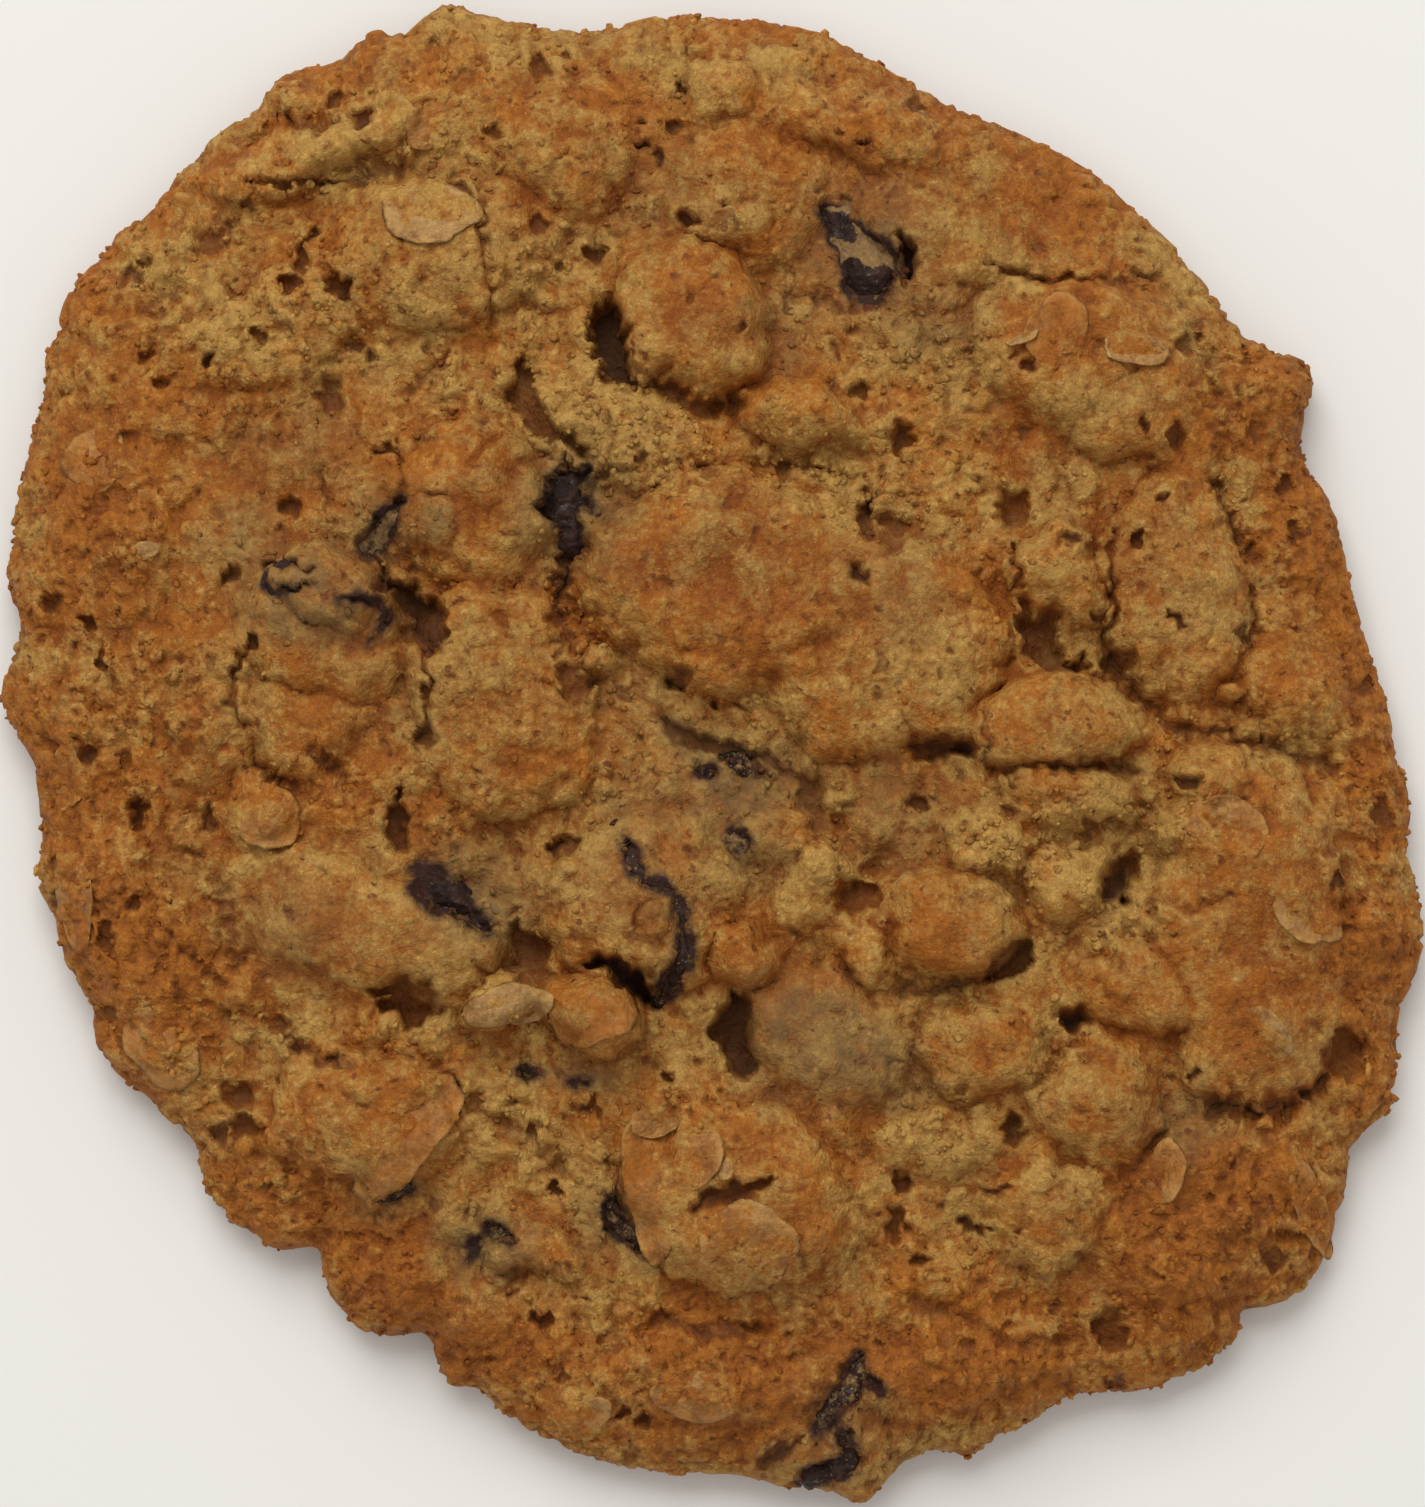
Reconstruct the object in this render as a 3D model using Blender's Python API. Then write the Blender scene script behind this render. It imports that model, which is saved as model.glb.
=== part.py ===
"""One large soft oat cookie with raisins, lying flat on its baked underside.

The dough is one solid with lumps, cracks, holes and oat flakes in its upper surface.
Each raisin is a solid of its own in a pocket of the dough. Sizes in the lists are in
millimetres. Each place is where the feature is seen from above, across and up from the
middle of the view. That view leans a little, so higher places are seen further up.
"""

import math
from typing import NamedTuple

import bpy
import numpy as np

MM = 0.001

# Outline, seen from above.
LONG_HALF = 52.13
SHORT_HALF = 44.25
LONG_TURN = math.radians(-52.8)

# Section through the rim and the dome.
DOME_RISE = 4.4
RIM_HEIGHT = 5.0
DOME_POWER = 2.6
EDGE_LEVEL = 2.4
EDGE_ROUND = 4.2
FOOT_INSET = 1.6

# How the photograph looks down on it.
VIEW_ELEVATION = math.radians(84.0)
USUAL_LUMP = 1.2

# Surface.
BROAD_LUMPS = 0.5
MIDDLE_LUMPS = 0.45
SMALL_LUMPS = 0.2
BLEND_POWER = 5.0
MOUND_GAIN = 1.42
WARP = 0.9
FINE_WARP = 0.45
SKIRT = 0.52
SKIRT_FALL = 0.85
CUT_SLOPE = 0.9
CUT_WARP = 0.3
FLAKE_EDGE = 0.22
FLAKE_DISH = 0.28
LEAST_OVER_EDGE = 1.0

# Raisins.
POCKET_GAP = 0.42
SECTION_SIDES = 12
PATH_STEPS = 12
WRINKLE = 0.09
PINCH = 0.16

# Facets.
DENSE_RINGS = 150
EDGE_RINGS = 16
FOOT_RINGS = 6
UNDER_RINGS = ((0.97, 360), (0.9, 180), (0.75, 96), (0.5, 48), (0.25, 24))
DOUGH_TRIANGLES = 9400
FLAT_WITHIN = 0.00002
SHARP_ANGLE = math.radians(50.0)

DOUGH_COLOUR = (0.31, 0.155, 0.05, 1.0)
RAISIN_COLOUR = (0.022, 0.012, 0.014, 1.0)


class Lobe(NamedTuple):
    """A bulge (or, below nought, a notch) of the outline."""

    degrees: float
    out: float
    spread: float


class Mound(NamedTuple):
    """A lump of the upper surface: its middle, half lengths, turn and height."""

    x: float
    y: float
    half_long: float
    half_wide: float
    degrees: float
    rise: float
    flat: float
    edge: float


class Flake(NamedTuple):
    """An oat flake baked into the surface."""

    x: float
    y: float
    half_long: float
    half_wide: float
    degrees: float
    rise: float


class Pit(NamedTuple):
    """A hole in the surface, with its full lengths."""

    x: float
    y: float
    long: float
    wide: float
    degrees: float
    depth: float


class Crack(NamedTuple):
    """A crack along a run of points."""

    points: tuple
    wide: float
    depth: float


class Cut(NamedTuple):
    """A hollow along a chain of beads, each x, y and radius."""

    beads: tuple
    depth: float


class Raisin(NamedTuple):
    """A raisin lying along a run of points. Its top is lift above the dough."""

    name: str
    points: tuple
    half_wide: float
    half_high: float
    lift: float


LOBES = (
    Lobe(5, -1.4, 14), Lobe(12, -0.5, 4), Lobe(26, -0.6, 2.5), Lobe(32, 2.7, 2.7),
    Lobe(52, 0.8, 14), Lobe(70, -0.9, 6), Lobe(82, 0.4, 5), Lobe(89, -0.3, 1.5),
    Lobe(100, -1.8, 5), Lobe(110, 1.5, 1.9), Lobe(116, 1.0, 1.6), Lobe(123, 1.0, 2.2),
    Lobe(126, -0.4, 1.2), Lobe(130, 0.3, 4), Lobe(138, -0.4, 2.5), Lobe(139.5, 0.8, 1.5),
    Lobe(145, 1.4, 3.2), Lobe(150, 0.6, 1.2), Lobe(167, 0.4, 1.5), Lobe(170.5, -0.8, 3),
    Lobe(177, 0.7, 2.5), Lobe(183.5, -1.1, 4.5), Lobe(192, 0.7, 2.2), Lobe(198.5, 0.8, 2.4),
    Lobe(207, 1.4, 3.4), Lobe(218, -0.9, 2.2), Lobe(223, 1.1, 4.2), Lobe(232, -1.8, 1.5),
    Lobe(239, 0.5, 2.4), Lobe(244, -1.7, 1.8), Lobe(247.5, 0.4, 1.6), Lobe(250, -0.6, 1.4),
    Lobe(261, 1.0, 8), Lobe(271, -0.5, 3), Lobe(276, 0.3, 2), Lobe(281, 1.5, 1.8),
    Lobe(287, -1.6, 3.2), Lobe(289.5, 0.4, 1.2), Lobe(292.5, -0.9, 1.5), Lobe(298, -2.3, 3.6),
    Lobe(310, 0.8, 4.2), Lobe(313, -1.1, 1.2), Lobe(318, 1.75, 3.2), Lobe(323, 0.4, 2.5),
    Lobe(328, -0.6, 2.0), Lobe(332, 0.8, 2.3), Lobe(338.5, -0.5, 1.5), Lobe(344, 0.6, 3),
    Lobe(351, -0.5, 1.8), Lobe(355, 0.3, 2),
)

MOUNDS = (
    Mound(-1.5, 28.3, 5.2, 5.6, 0, 3.0, 2.4, 0.55), Mound(5.9, 22.0, 4.6, 2.5, -14, 2.4, 2.4, 0.7),
    Mound(1.9, 11.0, 10.8, 7.8, -10, 2.7, 4.0, 0.6), Mound(10.0, 7.0, 9.4, 8.0, -20, 2.3, 3.6, 0.6),
    Mound(-14.0, 3.5, 6.3, 8.2, 12, 2.2, 3.4, 0.6), Mound(-16.0, 16.0, 5.8, 5.8, 0, 2.5, 2.8, 0.7),
    Mound(-5.0, 21.0, 8.2, 4.2, -18, 1.6, 2.6, 0.9), Mound(-10.0, 40.0, 5.4, 5.2, 20, 1.9, 2.6, 0.9),
    Mound(0.5, 43.7, 2.8, 2.1, 0, 1.4, 2.4, 0.8), Mound(2.0, 36.5, 6.0, 5.2, -30, 2.0, 2.8, 0.8),
    Mound(-18.0, 33.0, 8.6, 5.2, 8, 1.9, 3.0, 0.7), Mound(-27.0, 39.5, 8.4, 2.4, 22, 1.8, 2.6, 0.8),
    Mound(-31.0, 42.6, 4.0, 2.4, 35, 1.2, 2.4, 0.8), Mound(-29.0, 28.0, 8.0, 3.6, 20, 1.4, 2.8, 0.8),
    Mound(10.0, 41.0, 5.6, 2.7, -20, 1.5, 2.6, 0.8), Mound(25.0, 25.5, 8.6, 6.0, -18, 2.2, 3.2, 0.7),
    Mound(30.5, 10.5, 5.2, 7.6, 6, 2.1, 3.2, 0.65), Mound(22.8, 11.2, 3.4, 3.8, 10, 2.3, 2.6, 0.6),
    Mound(22.5, 1.4, 6.4, 3.6, 6, 2.6, 2.6, 0.55), Mound(23.0, -3.1, 5.2, 2.3, -8, 2.1, 2.6, 0.6),
    Mound(35.4, -12.0, 6.8, 12.6, 4, 2.2, 3.6, 0.65), Mound(32.4, -6.6, 4.4, 3.0, -24, 2.3, 2.4, 0.9),
    Mound(33.4, -1.8, 3.6, 2.4, -20, 2.0, 2.6, 0.7), Mound(34.1, 3.6, 1.2, 0.8, 0, 1.9, 2.4, 0.8),
    Mound(15.5, -11.2, 4.9, 3.8, -8, 3.1, 2.6, 0.6), Mound(28.3, -15.8, 4.3, 3.9, 0, 2.3, 2.8, 0.6),
    Mound(25.5, -23.3, 4.8, 4.2, -20, 2.5, 2.8, 0.6), Mound(17.5, -19.8, 4.6, 3.3, -10, 2.0, 2.6, 0.7),
    Mound(22.0, -30.2, 5.2, 4.4, 20, 1.6, 2.8, 0.8), Mound(-8.0, -17.2, 3.6, 2.7, -8, 3.1, 2.8, 0.5),
    Mound(-13.6, -16.8, 3.6, 1.9, 4, 2.2, 2.6, 0.6), Mound(-23.0, -24.5, 7.0, 4.9, -12, 2.0, 3.0, 0.65),
    Mound(1.4, -29.5, 7.6, 6.6, -10, 2.5, 3.4, 0.6), Mound(-4.6, -10.0, 6.6, 6.8, 0, 2.7, 2.8, 0.7),
    Mound(-22.5, -11.8, 9.6, 4.6, -14, 2.0, 2.8, 0.8), Mound(-25.5, 8.2, 6.4, 5.4, -12, 2.1, 2.6, 0.7),
    Mound(-27.5, 2.0, 5.0, 4.0, 0, 1.4, 2.6, 0.8), Mound(-33.0, 1.0, 4.2, 3.3, 30, 1.3, 2.6, 0.7),
    Mound(18.2, -6.0, 3.6, 2.6, -14, 1.6, 2.6, 0.8), Mound(23.6, -8.6, 3.2, 3.0, 0, 1.6, 2.6, 0.8),
    Mound(38.5, 4.0, 4.4, 3.6, -30, 1.3, 2.6, 0.8), Mound(32.0, -30.5, 8.6, 6.0, 40, 1.2, 2.8, 0.9),
    Mound(-11.5, -33.3, 4.0, 1.8, -6, 1.5, 2.4, 0.7), Mound(7.0, -18.8, 6.2, 4.4, -20, 1.6, 2.6, 0.8),
    Mound(4.0, -5.5, 3.8, 2.8, -30, 1.5, 2.6, 0.8), Mound(11.0, -11.0, 3.4, 3.0, 0, 1.0, 2.4, 0.8),
    Mound(6.5, -9.0, 3.2, 3.0, 0, 1.5, 2.4, 0.8), Mound(14.0, -26.0, 4.8, 3.2, 0, 1.2, 2.4, 0.9),
    Mound(-38.5, -12.0, 4.4, 8.0, 24, 1.0, 2.6, 0.9), Mound(-40.0, 14.0, 4.6, 9.0, -8, 0.9, 2.6, 0.9),
    Mound(-1.0, -41.5, 8.6, 3.6, 0, 1.2, 2.6, 0.9), Mound(16.0, -41.0, 8.6, 3.4, 14, 1.2, 2.6, 0.9),
    Mound(-18.0, -36.5, 6.4, 3.2, -30, 1.0, 2.6, 0.9), Mound(14.0, 33.5, 7.0, 5.0, -30, 1.0, 2.6, 1.0),
    Mound(-14.4, 8.7, 1.3, 1.1, 0, 1.9, 2.4, 0.7), Mound(2.2, -13.2, 3.0, 2.5, 0, 2.2, 2.4, 0.7),
    Mound(9.7, -13.2, 1.9, 2.6, 12, 1.7, 2.4, 0.7), Mound(-14.8, -13.3, 2.2, 2.0, 0, 1.5, 2.4, 0.7),
    Mound(-4.1, -10.8, 1.7, 1.3, 0, 3.2, 2.6, 0.6), Mound(-8.0, 5.8, 1.7, 1.4, -20, 1.5, 2.4, 0.7),
    Mound(-18.2, 15.0, 2.6, 3.0, 0, 3.0, 2.4, 0.9), Mound(-14.6, 17.4, 2.4, 3.8, -10, 3.2, 2.4, 0.9),
    Mound(-30.0, -4.0, 2.8, 2.6, 0, 1.1, 2.4, 1.0), Mound(6.6, -8.0, 2.2, 1.9, -30, 2.0, 2.4, 0.7),
    Mound(-25.4, 10.6, 4.5, 2.6, -16, 3.3, 3.0, 0.5), Mound(-23.4, 7.9, 1.6, 1.2, 0, 2.5, 2.4, 0.7),
)

FLAKES = (
    Flake(-18.8, 35.3, 3.3, 2.2, -14, 0.4), Flake(-18.0, 41.5, 2.6, 1.7, 20, 0.38),
    Flake(-30.0, -4.2, 2.9, 2.3, -20, 0.4), Flake(22.6, 27.6, 2.4, 2.0, 70, 0.56),
    Flake(27.8, 26.2, 2.3, 1.1, -4, 0.44), Flake(20.2, 27.5, 1.5, 0.9, 40, 0.44),
    Flake(-8.0, -16.9, 3.0, 2.2, -10, 0.56), Flake(-20.2, -25.5, 4.8, 2.4, 49, 0.5),
    Flake(-4.5, -28.8, 4.6, 1.4, 101, 0.85), Flake(-4.0, -24.6, 1.5, 1.0, 10, 0.54),
    Flake(-1.0, -26.9, 2.0, 1.5, 80, 0.55), Flake(2.0, -33.0, 3.8, 2.5, 12, 0.46),
    Flake(-1.0, -42.8, 2.9, 1.9, -8, 0.3), Flake(-9.0, -44.5, 2.2, 1.4, 20, 0.3),
    Flake(-36.5, -19.8, 2.9, 2.5, -40, 0.3), Flake(-42.4, -10.2, 3.4, 1.3, 102, 0.3),
    Flake(-42.9, -2.0, 2.3, 1.1, 95, 0.3), Flake(33.6, -5.2, 3.2, 1.8, -22, 0.42),
    Flake(39.0, -11.2, 2.6, 1.6, -38, 0.36), Flake(36.6, -18.5, 1.9, 0.8, -48, 0.46),
    Flake(39.6, -30.6, 3.2, 1.2, 112, 0.3), Flake(29.4, -28.2, 2.5, 1.4, 75, 0.54),
    Flake(0.3, 34.3, 1.5, 0.8, 60, 0.54), Flake(-41.0, 19.0, 2.3, 2.0, 0, 0.38),
    Flake(-13.5, -16.9, 2.9, 1.3, 6, 0.46),
)

PITS = (
    Pit(-7.0, 27.4, 2.8, 5.6, 4, 3.6), Pit(-19.6, 8.6, 3.2, 4.2, 36, 3.0),
    Pit(-25.4, 23.4, 1.6, 2.8, 0, 1.1), Pit(-9.1, 4.5, 2.4, 2.6, 0, 1.6), Pit(-2.2, 4.9, 2.2, 1.6, 0, 2.0),
    Pit(11.7, 14.2, 1.9, 2.8, 0, 1.0), Pit(19.8, 15.9, 2.2, 2.6, 30, 1.5),
    Pit(21.6, 7.6, 2.0, 4.4, -26, 2.6), Pit(26.6, 5.6, 2.6, 1.8, 20, 1.9), Pit(15.0, 0.2, 4.4, 1.4, 4, 2.2),
    Pit(12.3, 20.7, 1.4, 1.9, 0, 1.6), Pit(27.0, -8.0, 2.8, 2.2, 30, 2.2), Pit(9.4, -9.7, 3.0, 2.6, 0, 1.9),
    Pit(19.3, -14.1, 3.2, 1.8, 24, 1.9), Pit(23.7, -18.0, 2.0, 2.4, 0, 2.0),
    Pit(19.8, -25.0, 1.8, 1.8, 0, 1.7), Pit(41.6, -20.3, 3.0, 3.4, 0, 1.7),
    Pit(-20.0, -16.3, 4.2, 2.4, -24, 1.9), Pit(-31.2, -23.0, 1.8, 2.0, 0, 1.4),
    Pit(-31.0, -25.2, 2.2, 1.4, 0, 1.4), Pit(-38.1, -4.5, 1.4, 1.9, 0, 1.7),
    Pit(12.0, -31.3, 1.3, 2.7, 10, 1.4), Pit(26.3, -38.6, 2.0, 2.6, 0, 1.3),
    Pit(1.0, -29.5, 4.2, 1.4, 12, 1.0), Pit(1.7, -18.4, 2.6, 5.2, 10, 2.6),
    Pit(-12.4, -14.0, 3.0, 4.4, 24, 1.9), Pit(12.8, 32.2, 1.2, 3.2, -6, 2.0),
    Pit(-5.4, -15.0, 2.6, 1.6, 0, 1.9), Pit(-20.8, -4.7, 1.1, 3.1, 0, 1.5),
)

CRACKS = (
    Crack(((-24, 38), (-20, 38.5)), 0.8, 1.1),
    Crack(((-12.8, 25.3), (-12.5, 23), (-11, 21), (-8.5, 19.8)), 0.92, 1.7),
    Crack(((-5.5, 25.7), (-3.5, 24), (-1, 22.5), (1.5, 22.8)), 0.8, 1.6),
    Crack(((-9.3, 14), (-10, 11.5), (-10.2, 9), (-9.6, 7)), 0.8, 2.0),
    Crack(((3, -1), (6, -2), (7.5, -4.5), (9.5, -6.5), (11, -8)), 1.61, 1.5),
    Crack(((26, 6), (28.5, 3), (30.5, 1.2), (34, 1), (38.5, -0.5), (41, -1.5)), 0.69, 1.4),
    Crack(((18.4, -1.4), (22, -1.1), (26, -0.8), (27.6, -1.5)), 0.6, 1.1),
    Crack(((33, -23.8), (36, -24), (38.5, -23.5), (40.5, -22)), 0.8, 1.6),
    Crack(((12, -15.8), (15, -15.8), (18, -15)), 0.69, 1.3),
    Crack(((13, -36.5), (16, -37.5), (19, -39), (22, -39.8), (24, -39.3)), 0.69, 1.0),
    Crack(((-18, -21), (-16, -23.5), (-13, -25.5), (-9, -28.5)), 0.69, 1.1),
    Crack(((26, 31), (29, 31)), 0.6, 1.1),
    Crack(((33.1, 17.5), (33.8, 16), (34.5, 14.2), (35.5, 12.7)), 0.6, 1.3),
    Crack(((-32.8, -8.5), (-32, -12), (-31.5, -14.5)), 0.8, 1.0),
    Crack(((-30.4, -0.9), (-29, -1.9), (-27.6, -2.6)), 0.6, 1.0),
    Crack(((-26.6, -0.3), (-25.4, -0.8), (-24.5, -1.7)), 0.6, 1.0),
)

CUTS = (
    Cut(((-21.9, 11.0, 0.3), (-20.4, 10.2, 0.6), (-18.9, 8.9, 1.2), (-18.6, 7.3, 0.9)), 3.0),
    Cut(((-7.0, 29.2, 0.7), (-7.0, 27.0, 1.2), (-6.6, 25.2, 0.8), (-5.6, 24.4, 0.4)), 3.4),
    Cut(((-13.0, 25.6, 0.3), (-12.6, 23.4, 0.8), (-11.2, 21.2, 0.7), (-8.8, 19.8, 0.4)), 2.2),
    Cut(((12.3, 33.7, 0.3), (13.1, 32.5, 0.45), (12.9, 31.2, 0.35)), 2.8),
    Cut(((-7.9, -14.1, 0.35), (-6.3, -14.2, 0.6), (-5.3, -15.1, 0.8), (-4.2, -16.4, 0.5)), 2.6),
    Cut(((-10.5, -6.8, 0.55), (-9.7, -6.2, 0.5)), 1.8),
    Cut(((-12.9, -11.9, 0.6), (-12.0, -13.6, 1.3), (-12.4, -14.9, 0.8)), 2.0),
    Cut(((-22.2, -15.9, 0.3), (-20.6, -16.1, 0.8), (-19.6, -17.4, 0.9)), 2.2),
    Cut(((-20.8, -3.2, 0.3), (-20.9, -4.6, 0.5), (-20.8, -6.2, 0.5)), 2.0),
    Cut(((1.6, -16.6, 0.6), (1.1, -18.4, 1.1), (2.0, -20.6, 0.9)), 2.6),
    Cut(((13.2, 0.2, 0.4), (15.0, 0.3, 0.7), (17.0, 0.1, 0.5)), 2.6),
    Cut(((20.4, 9.6, 0.6), (20.9, 7.4, 0.9), (22.0, 6.0, 0.9), (24.0, 5.6, 0.5)), 2.8),
    Cut(((26.9, -8.6, 0.9), (26.1, -9.6, 0.7)), 2.4),
    Cut(((18.2, -14.8, 0.5), (20.2, -13.4, 0.9)), 2.2),
    Cut(
        ((-9.0, 13.9, 0.2), (-9.5, 12.5, 0.35), (-9.8, 11.2, 0.35), (-10.3, 9.2, 0.3), (-9.7, 7.8, 0.1)),
        2.0,
    ),
    Cut(
        (
            (-3.6, 2.3, 0.3), (-1.8, 0.8, 0.5), (1.0, 0.0, 0.6),
            (3.6, -0.6, 0.5), (5.8, -2.0, 0.5), (7.0, -4.8, 0.7),
        ),
        1.4,
    ),
    Cut(((-22.4, 12.6, 0.0), (-21.4, 11.4, 0.2), (-20.6, 10.4, 0.2)), 1.6),
    Cut(((-31.6, 37.2, 0.1), (-28.4, 37.3, 0.3), (-24.8, 37.6, 0.1)), 1.4),
    Cut(((19.6, 13.4, 0.1), (19.9, 10.8, 0.3)), 1.4),
    Cut(((10.0, 17.2, 0.1), (10.0, 14.2, 0.35)), 1.6),
)

RAISINS = (
    Raisin("raisin_01", ((8.4, 34.3), (9.7, 32.6), (10.5, 31.1)), 2.7, 2.4, -0.1),
    Raisin("raisin_02", ((-9.8, 17.4), (-9.8, 16.2), (-9.4, 15.0)), 2.4, 1.6, -0.7),
    Raisin("raisin_03", ((-22.6, 13.7), (-21.3, 15.2)), 1.7, 1.4, -0.8),
    Raisin("raisin_04", ((-27.6, 10.8), (-25.4, 10.3), (-23.4, 9.0)), 2.2, 1.6, -0.9),
    Raisin("raisin_05", ((-18.9, -8.9), (-17.2, -9.8), (-15.4, -11.1)), 1.7, 1.6, -0.8),
    Raisin(
        "raisin_06",
        (
            (-6.2, -5.4), (-5.6, -6.4), (-5.2, -7.9), (-4.3, -8.8),
            (-2.9, -9.3), (-1.9, -11.2), (-2.1, -14.0), (-3.4, -16.2),
        ),
        0.95, 1.1, -0.25,
    ),
    Raisin("raisin_07", ((-0.3, -1.3), (1.2, -1.1), (2.8, -1.6)), 1.4, 1.2, -0.3),
    Raisin("raisin_08", ((1.5, -5.7), (1.8, -6.4)), 1.2, 1.1, -0.15),
    Raisin("raisin_09", ((-11.8, -21.1), (-9.6, -20.9), (-7.4, -21.1)), 1.1, 1.1, -0.35),
    Raisin("raisin_10", ((-7.0, -29.9), (-6.2, -31.5), (-4.7, -32.7)), 1.0, 1.1, -0.7),
    Raisin("raisin_11", ((-21.7, -29.3), (-20.5, -28.8)), 0.9, 0.9, -0.2),
    Raisin("raisin_12", ((-15.2, -32.6), (-14.0, -32.0)), 1.1, 1.0, -0.3),
    Raisin("raisin_13", ((9.8, -40.9), (8.9, -42.6), (7.3, -44.2)), 1.1, 1.2, -0.35),
    Raisin("raisin_14", ((8.8, -45.7), (8.9, -46.8), (7.9, -47.5), (6.6, -47.7)), 0.85, 1.0, -0.25),
)


def angle_between(a, b):
    """The signed difference of two angles in degrees."""
    return (a - b + 180.0) % 360.0 - 180.0


def outline_radius(angle):
    """The outline's distance from the middle of the view, for angles in radians."""
    t = angle - LONG_TURN
    radius = LONG_HALF * SHORT_HALF / np.hypot(SHORT_HALF * np.cos(t), LONG_HALF * np.sin(t))
    degrees = np.degrees(angle)
    for lobe in LOBES:
        away = angle_between(degrees, lobe.degrees) / lobe.spread
        radius = radius + lobe.out * np.exp(-math.log(2.0) * away**2)
    return radius


def lattice_noise(x, y, size, seed):
    """Smooth noise between about -1 and 1 whose lumps are size apart."""
    u, v = np.asarray(x) / size, np.asarray(y) / size
    iu, iv = np.floor(u), np.floor(v)
    fu, fv = u - iu, v - iv
    total = np.zeros_like(u)
    for du in (0, 1):
        for dv in (0, 1):
            a, b = iu + du, iv + dv
            turn = np.sin(a * 127.1 + b * 311.7 + seed * 74.7) * 43758.5453
            turn = (turn - np.floor(turn)) * 2.0 * math.pi
            slope = np.cos(turn) * (fu - du) + np.sin(turn) * (fv - dv)
            wu = 1.0 - np.abs(fu - du)
            wv = 1.0 - np.abs(fv - dv)
            wu = wu * wu * wu * (wu * (wu * 6.0 - 15.0) + 10.0)
            wv = wv * wv * wv * (wv * (wv * 6.0 - 15.0) + 10.0)
            total = total + slope * wu * wv
    return total * 1.5


def in_own_axes(x, y, cx, cy, degrees):
    """Points seen from a middle and turned back by degrees."""
    turn = math.radians(degrees)
    dx, dy = x - cx, y - cy
    across = dx * math.cos(turn) + dy * math.sin(turn)
    along = -dx * math.sin(turn) + dy * math.cos(turn)
    return across, along


def nearest_on_path(x, y, points):
    """The distance to a run of points, and how far along it (0 to 1) the nearest is."""
    ends = np.array(points, float)
    lengths = np.hypot(*(ends[1:] - ends[:-1]).T)
    total = lengths.sum()
    best = np.full(np.shape(x), np.inf)
    place = np.zeros(np.shape(x))
    before = 0.0
    for start, end, length in zip(ends[:-1], ends[1:], lengths):
        way = (end - start) / length
        along = np.clip((x - start[0]) * way[0] + (y - start[1]) * way[1], 0.0, length)
        away = np.hypot(x - start[0] - along * way[0], y - start[1] - along * way[1])
        nearer = away < best
        best = np.where(nearer, away, best)
        place = np.where(nearer, (before + along) / total, place)
        before += length
    return best, place


def bead_distance(x, y, beads):
    """The distance to a chain of beads of changing size, below nought inside it."""
    best = np.full(np.shape(x), np.inf)
    for (x0, y0, r0), (x1, y1, r1) in zip(beads[:-1], beads[1:]):
        dx, dy = x1 - x0, y1 - y0
        share = np.clip(((x - x0) * dx + (y - y0) * dy) / (dx * dx + dy * dy), 0.0, 1.0)
        away = np.hypot(x - x0 - share * dx, y - y0 - share * dy)
        best = np.minimum(best, away - r0 - (r1 - r0) * share)
    return best


def base_height(rho):
    """The smooth dome, before lumps, for rho from 0 (middle) to 1 (rim)."""
    return RIM_HEIGHT + DOME_RISE * (1.0 - rho**DOME_POWER)


def lumps(x, y):
    """The height that the mounds add to the dome. Some of their sides have a skirt."""
    wx = x + WARP * lattice_noise(x, y, 5.0, 11) + FINE_WARP * lattice_noise(x, y, 1.9, 12)
    wy = y + WARP * lattice_noise(x, y, 5.0, 13) + FINE_WARP * lattice_noise(x, y, 1.9, 14)
    leaning = SKIRT * np.clip(0.5 + 1.4 * lattice_noise(x, y, 6.0, 18), 0.0, 1.0)
    total = np.zeros_like(x)
    for mound in MOUNDS:
        across, along = in_own_axes(wx, wy, mound.x, mound.y, mound.degrees)
        away = np.hypot(across / mound.half_long, along / mound.half_wide)
        shape = np.clip(1.0 - away**mound.flat, 0.0, 1.0) ** mound.edge
        shape = np.maximum(shape, leaning * np.exp(-SKIRT_FALL * away**2))
        total = total + (MOUND_GAIN * mound.rise * shape) ** BLEND_POWER
    return total ** (1.0 / BLEND_POWER)


def flake_height(x, y):
    """The height that baked-in oat flakes add: a thin plate with a rolled edge."""
    total = np.zeros_like(x)
    for flake in FLAKES:
        across, along = in_own_axes(x, y, flake.x, flake.y, flake.degrees)
        away = np.hypot(across / flake.half_long, along / flake.half_wide)
        plate = np.clip((1.0 - away) / FLAKE_EDGE, 0.0, 1.0)
        dish = 1.0 - FLAKE_DISH * (1.0 - np.clip(away, 0.0, 1.0) ** 2)
        total = np.maximum(total, flake.rise * np.sqrt(plate) * dish)
    return total


def hollows(x, y):
    """How deep the cracks and holes are."""
    wx = x + CUT_WARP * lattice_noise(x, y, 1.6, 21)
    wy = y + CUT_WARP * lattice_noise(x, y, 1.6, 22)
    total = np.zeros_like(x)
    for crack in CRACKS:
        away, _ = nearest_on_path(wx, wy, crack.points)
        total = np.maximum(total, crack.depth * np.exp(-((away / crack.wide) ** 2)))
    for pit in PITS:
        across, along = in_own_axes(wx, wy, pit.x, pit.y, pit.degrees)
        away = np.hypot(2.0 * across / pit.long, 2.0 * along / pit.wide)
        total = np.maximum(total, pit.depth * np.exp(-(away**3.2) * 0.9))
    for cut in CUTS:
        share = np.clip(0.5 - bead_distance(wx, wy, cut.beads) / CUT_SLOPE, 0.0, 1.0)
        total = np.maximum(total, cut.depth * share * share * (3.0 - 2.0 * share))
    return total


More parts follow.
